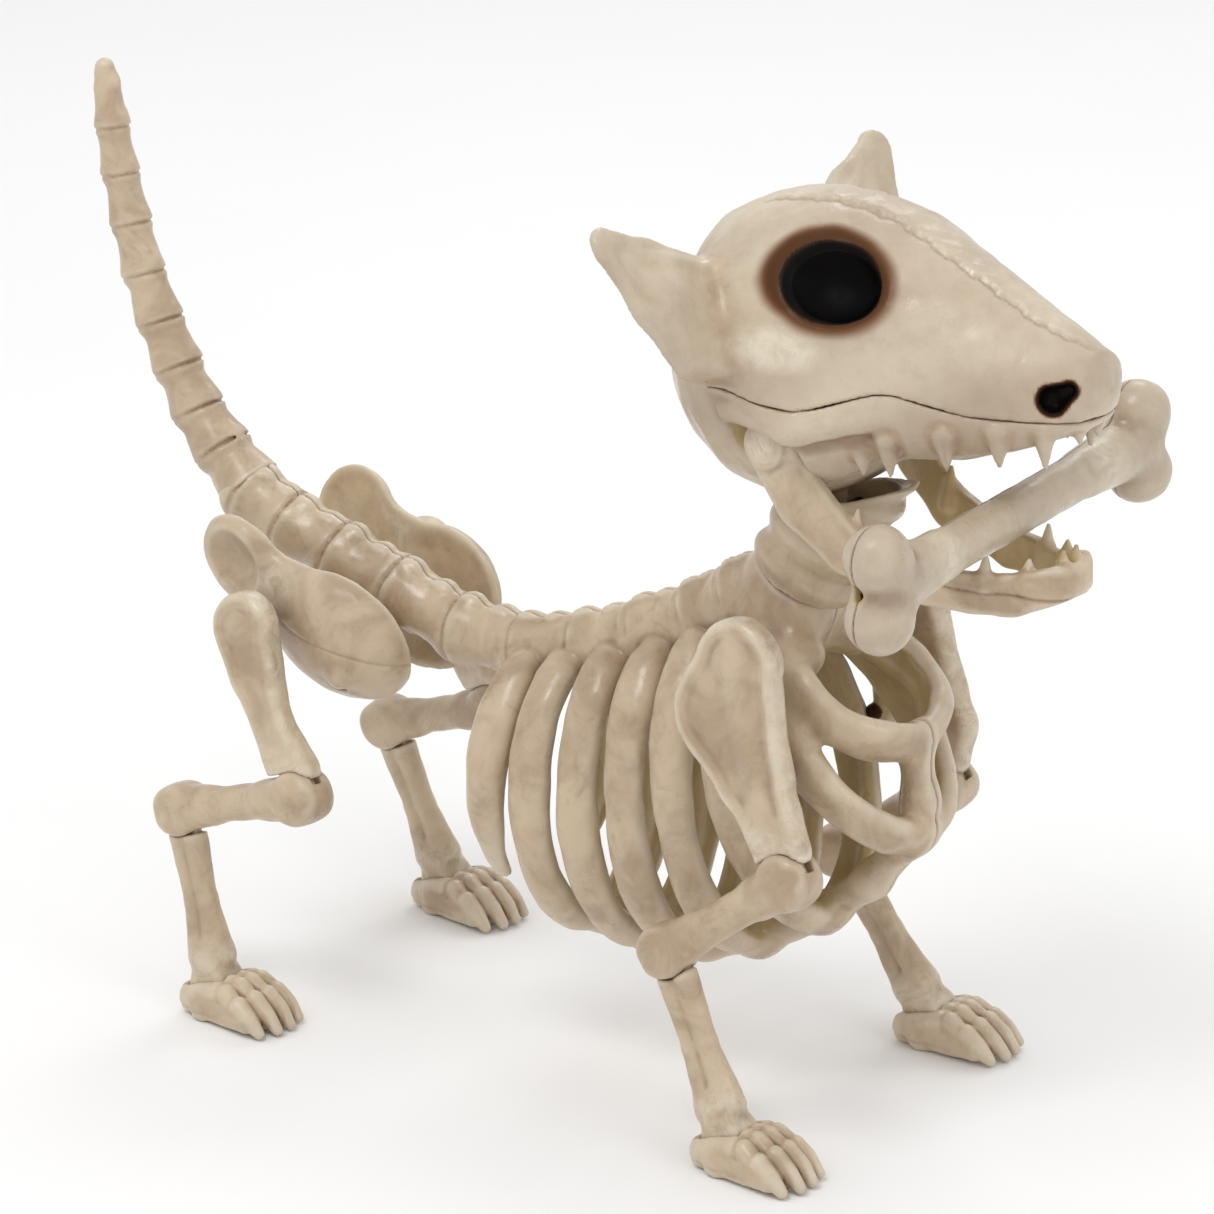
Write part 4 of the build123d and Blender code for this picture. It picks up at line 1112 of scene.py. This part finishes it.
def build_paw(name, side, leg, ankle, down):
    """A paw: a heel, four metatarsals, and four toes with knuckles and claws."""
    spot = (leg @ np.array([ankle[0], ankle[1], 0, 1]))[:3]
    turn = radians(TOE_TURN[name])
    place = placement((cos(turn), sin(turn), 0), (-sin(turn), cos(turn), 0), (0, 0, 1),
                      (spot[0], spot[1], 0))
    paw = Sculpt(PAW_LOW, PAW_HIGH, 0.62)
    paw.add(egg((-1, 0, 6.4), (10.6, 12.4, 8.2)))
    paw.add(egg((4.5, 0, 8.5), (8.5, 11.6, 7.4)), 3)
    for side in (1, -1):
        paw.add(egg((-6.0, side * 6.0, 6.0), (5.2, 5.6, 6.6)), 1.4)
        paw.add(egg((1.5, side * 10.0, 5.0), (5.0, 3.6, 5.6)), 1.4)
    paw.add(cone((2, 0, 4.5), (18, 0, 4.5), 4.5), 3)
    for toe in range(4):
        lane = (toe - 1.5) * LANE
        outerness = abs(toe - 1.5) / 1.5
        reach = 34.0 - 3.8 * outerness
        first = (0.38 * reach, lane * 0.86, 13.6 - 1.8 * outerness)
        second = (0.62 * reach, lane * 0.96, 11.4 - 1.6 * outerness)
        third = (0.82 * reach, lane, 7.6 - 0.8 * outerness)
        paw.add(cone((-1, lane * 0.76, 8.0), (first[0] - 2.2, first[1], first[2]), 4.6, 4.3), 1.2)
        knuckle = (first[0] + 1.6, first[1], first[2] + 0.6)
        paw.add(cone(knuckle, (second[0] - 1.4, second[1], second[2] + 0.3), 4.0, 3.7), 0.3)
        paw.add(cone((second[0] + 1.4, second[1], second[2]), third, 3.9, 3.6), 0.3)
        paw.add(cone((third[0] + 1.6, third[1], third[2] - 1.0), (reach + 0.4, lane, 2.6), 3.3, 2.0), 0.25)
        paw.add(cone((3, lane * 0.85, 4.0), (0.80 * reach, lane, 4.2), 3.9, 3.3), 1.6)
        paw.add(cone((6, lane * 0.86, 7.6), (0.58 * reach, lane * 0.95, 7.4), 3.8, 3.3), 1.2)
    paw.shift(lambda x, y, z: -0.4 * bell(z - 3.6, 0.5) * (x < 16))
    paw.weather(0.10)
    paw.keep(lambda x, y, z: SOLE - z, 0.4)
    # Room for the shank, at both ends of its swing.
    to_leg = np.linalg.inv(leg) @ place

    def in_leg(x, y, z):
        return (row[0] * x + row[1] * y + row[2] * z + row[3] for row in to_leg[:3])

    def shank_room(x, y, z):
        u, v, w = in_leg(x, y, z)
        best = None
        for swing in ANKLE_TRAVEL:
            top = polar(ankle, down + 180 - swing, 30)
            flat = outline([(*ankle, ANKLE_RADIUS + GAP), (*polar(ankle, down + 180 - swing, 13), 7.6),
                            (*top, 7.6)], u, v)
            best = flat if best is None else np.minimum(best, flat)
        return np.maximum(best, np.abs(w) - 8.1)
    paw.cut((shank_room, vec(-14, -16, -1), PAW_HIGH), 0.6)
    root = polar(ankle, -52, ANKLE_RADIUS + 1.8)

    def web(x, y, z):
        u, v, w = in_leg(x, y, z)
        flat = outline([(*ankle, ANKLE_DISC), (*root, WEB_RADIUS)], u, v)
        return np.maximum(np.maximum(flat, np.abs(w) - TONGUE / 2), SOLE - z)
    paw.add((web, vec(-14, -16, 0), PAW_HIGH), 0.3)
    paw.skin(f"{name}_paw_bone", f"{name}_foot", [f"{name}_paw"], BONE, place=place)


# ---- Screws and pins stay as the CAD made them, with a metal finish
def finish_cad_nodes():
    for node, thing in frame["nodes"].items():
        if thing.hide_render:
            continue
        metal = node.endswith("_pin") or node.endswith("_screw") or node in (
            "torso_screws", "jaw_pins", "head_pin")
        thing.data.materials.clear()
        thing.data.materials.append(STEEL if metal else BARE)


# ---- Camera, floor and lights
CAMERA_AZIMUTH, CAMERA_ELEVATION = radians(35.82), radians(19.07)
CAMERA_DISTANCE = 1.89
CAMERA_TARGET = Vector((0.01232, 0, 0.16227))


def aim(thing, azimuth, elevation, distance):
    """Put a camera or lamp on a sphere round the target, looking at it. Angles are in radians."""
    bpy.context.scene.collection.objects.link(thing)
    back = Vector((sin(azimuth) * cos(elevation), -cos(azimuth) * cos(elevation), sin(elevation)))
    thing.location = CAMERA_TARGET + back * distance
    thing.rotation_mode = "QUATERNION"
    thing.rotation_quaternion = (-back).to_track_quat("-Z", "Y")


def build_camera():
    data = bpy.data.cameras.new("camera")
    data.lens, data.sensor_width = 160.7, 36
    data.clip_start, data.clip_end = 0.1, 20
    camera = bpy.data.objects.new("camera", data)
    aim(camera, CAMERA_AZIMUTH, CAMERA_ELEVATION, CAMERA_DISTANCE)
    bpy.context.scene.camera = camera


def build_floor():
    mesh = bpy.data.meshes.new("floor")
    half = 6.0
    mesh.from_pydata([(-half, -half, 0), (half, -half, 0), (half, half, 0), (-half, half, 0)], [],
                     [(0, 1, 2, 3)])
    floor = bpy.data.objects.new("floor", mesh)
    bpy.context.scene.collection.objects.link(floor)
    n = Nodes("floor")
    n.link(n.mix(n.noise(3), tint(246, 246, 246), tint(240, 240, 240)), n.shader.inputs["Base Color"])
    n.shader.inputs["Roughness"].default_value = 0.9
    mesh.materials.append(n.material)


def build_light(name, azimuth, elevation, distance, size, power):
    data = bpy.data.lights.new(name, "AREA")
    data.shape, data.size, data.energy = "DISK", size, power
    aim(bpy.data.objects.new(name, data), radians(azimuth), radians(elevation), distance)


def build_studio():
    world = bpy.data.worlds.new("studio")
    world.use_nodes = True
    sky = world.node_tree.nodes["Background"]
    sky.inputs["Color"].default_value = (1, 1, 1, 1)
    sky.inputs["Strength"].default_value = 0.87
    bpy.context.scene.world = world
    build_light("key", 0, 60, 1.9, 0.7, 9)
    build_light("fill", 85, 30, 2.2, 1.0, 4)
    build_light("rim", 200, 45, 2.0, 0.8, 5)
    bpy.context.scene.view_settings.view_transform = "Standard"


build_camera()
build_floor()
build_studio()
build_torso()
build_pelvis()
build_plates()
build_tail()
build_collar()
build_skull()
build_eyes()
build_jaw()
build_toy_bone()
for leg_name, leg_side in (("front_right", -1), ("front_left", 1), ("hind_right", -1), ("hind_left", 1)):
    build_leg(leg_name, leg_side)
finish_cad_nodes()
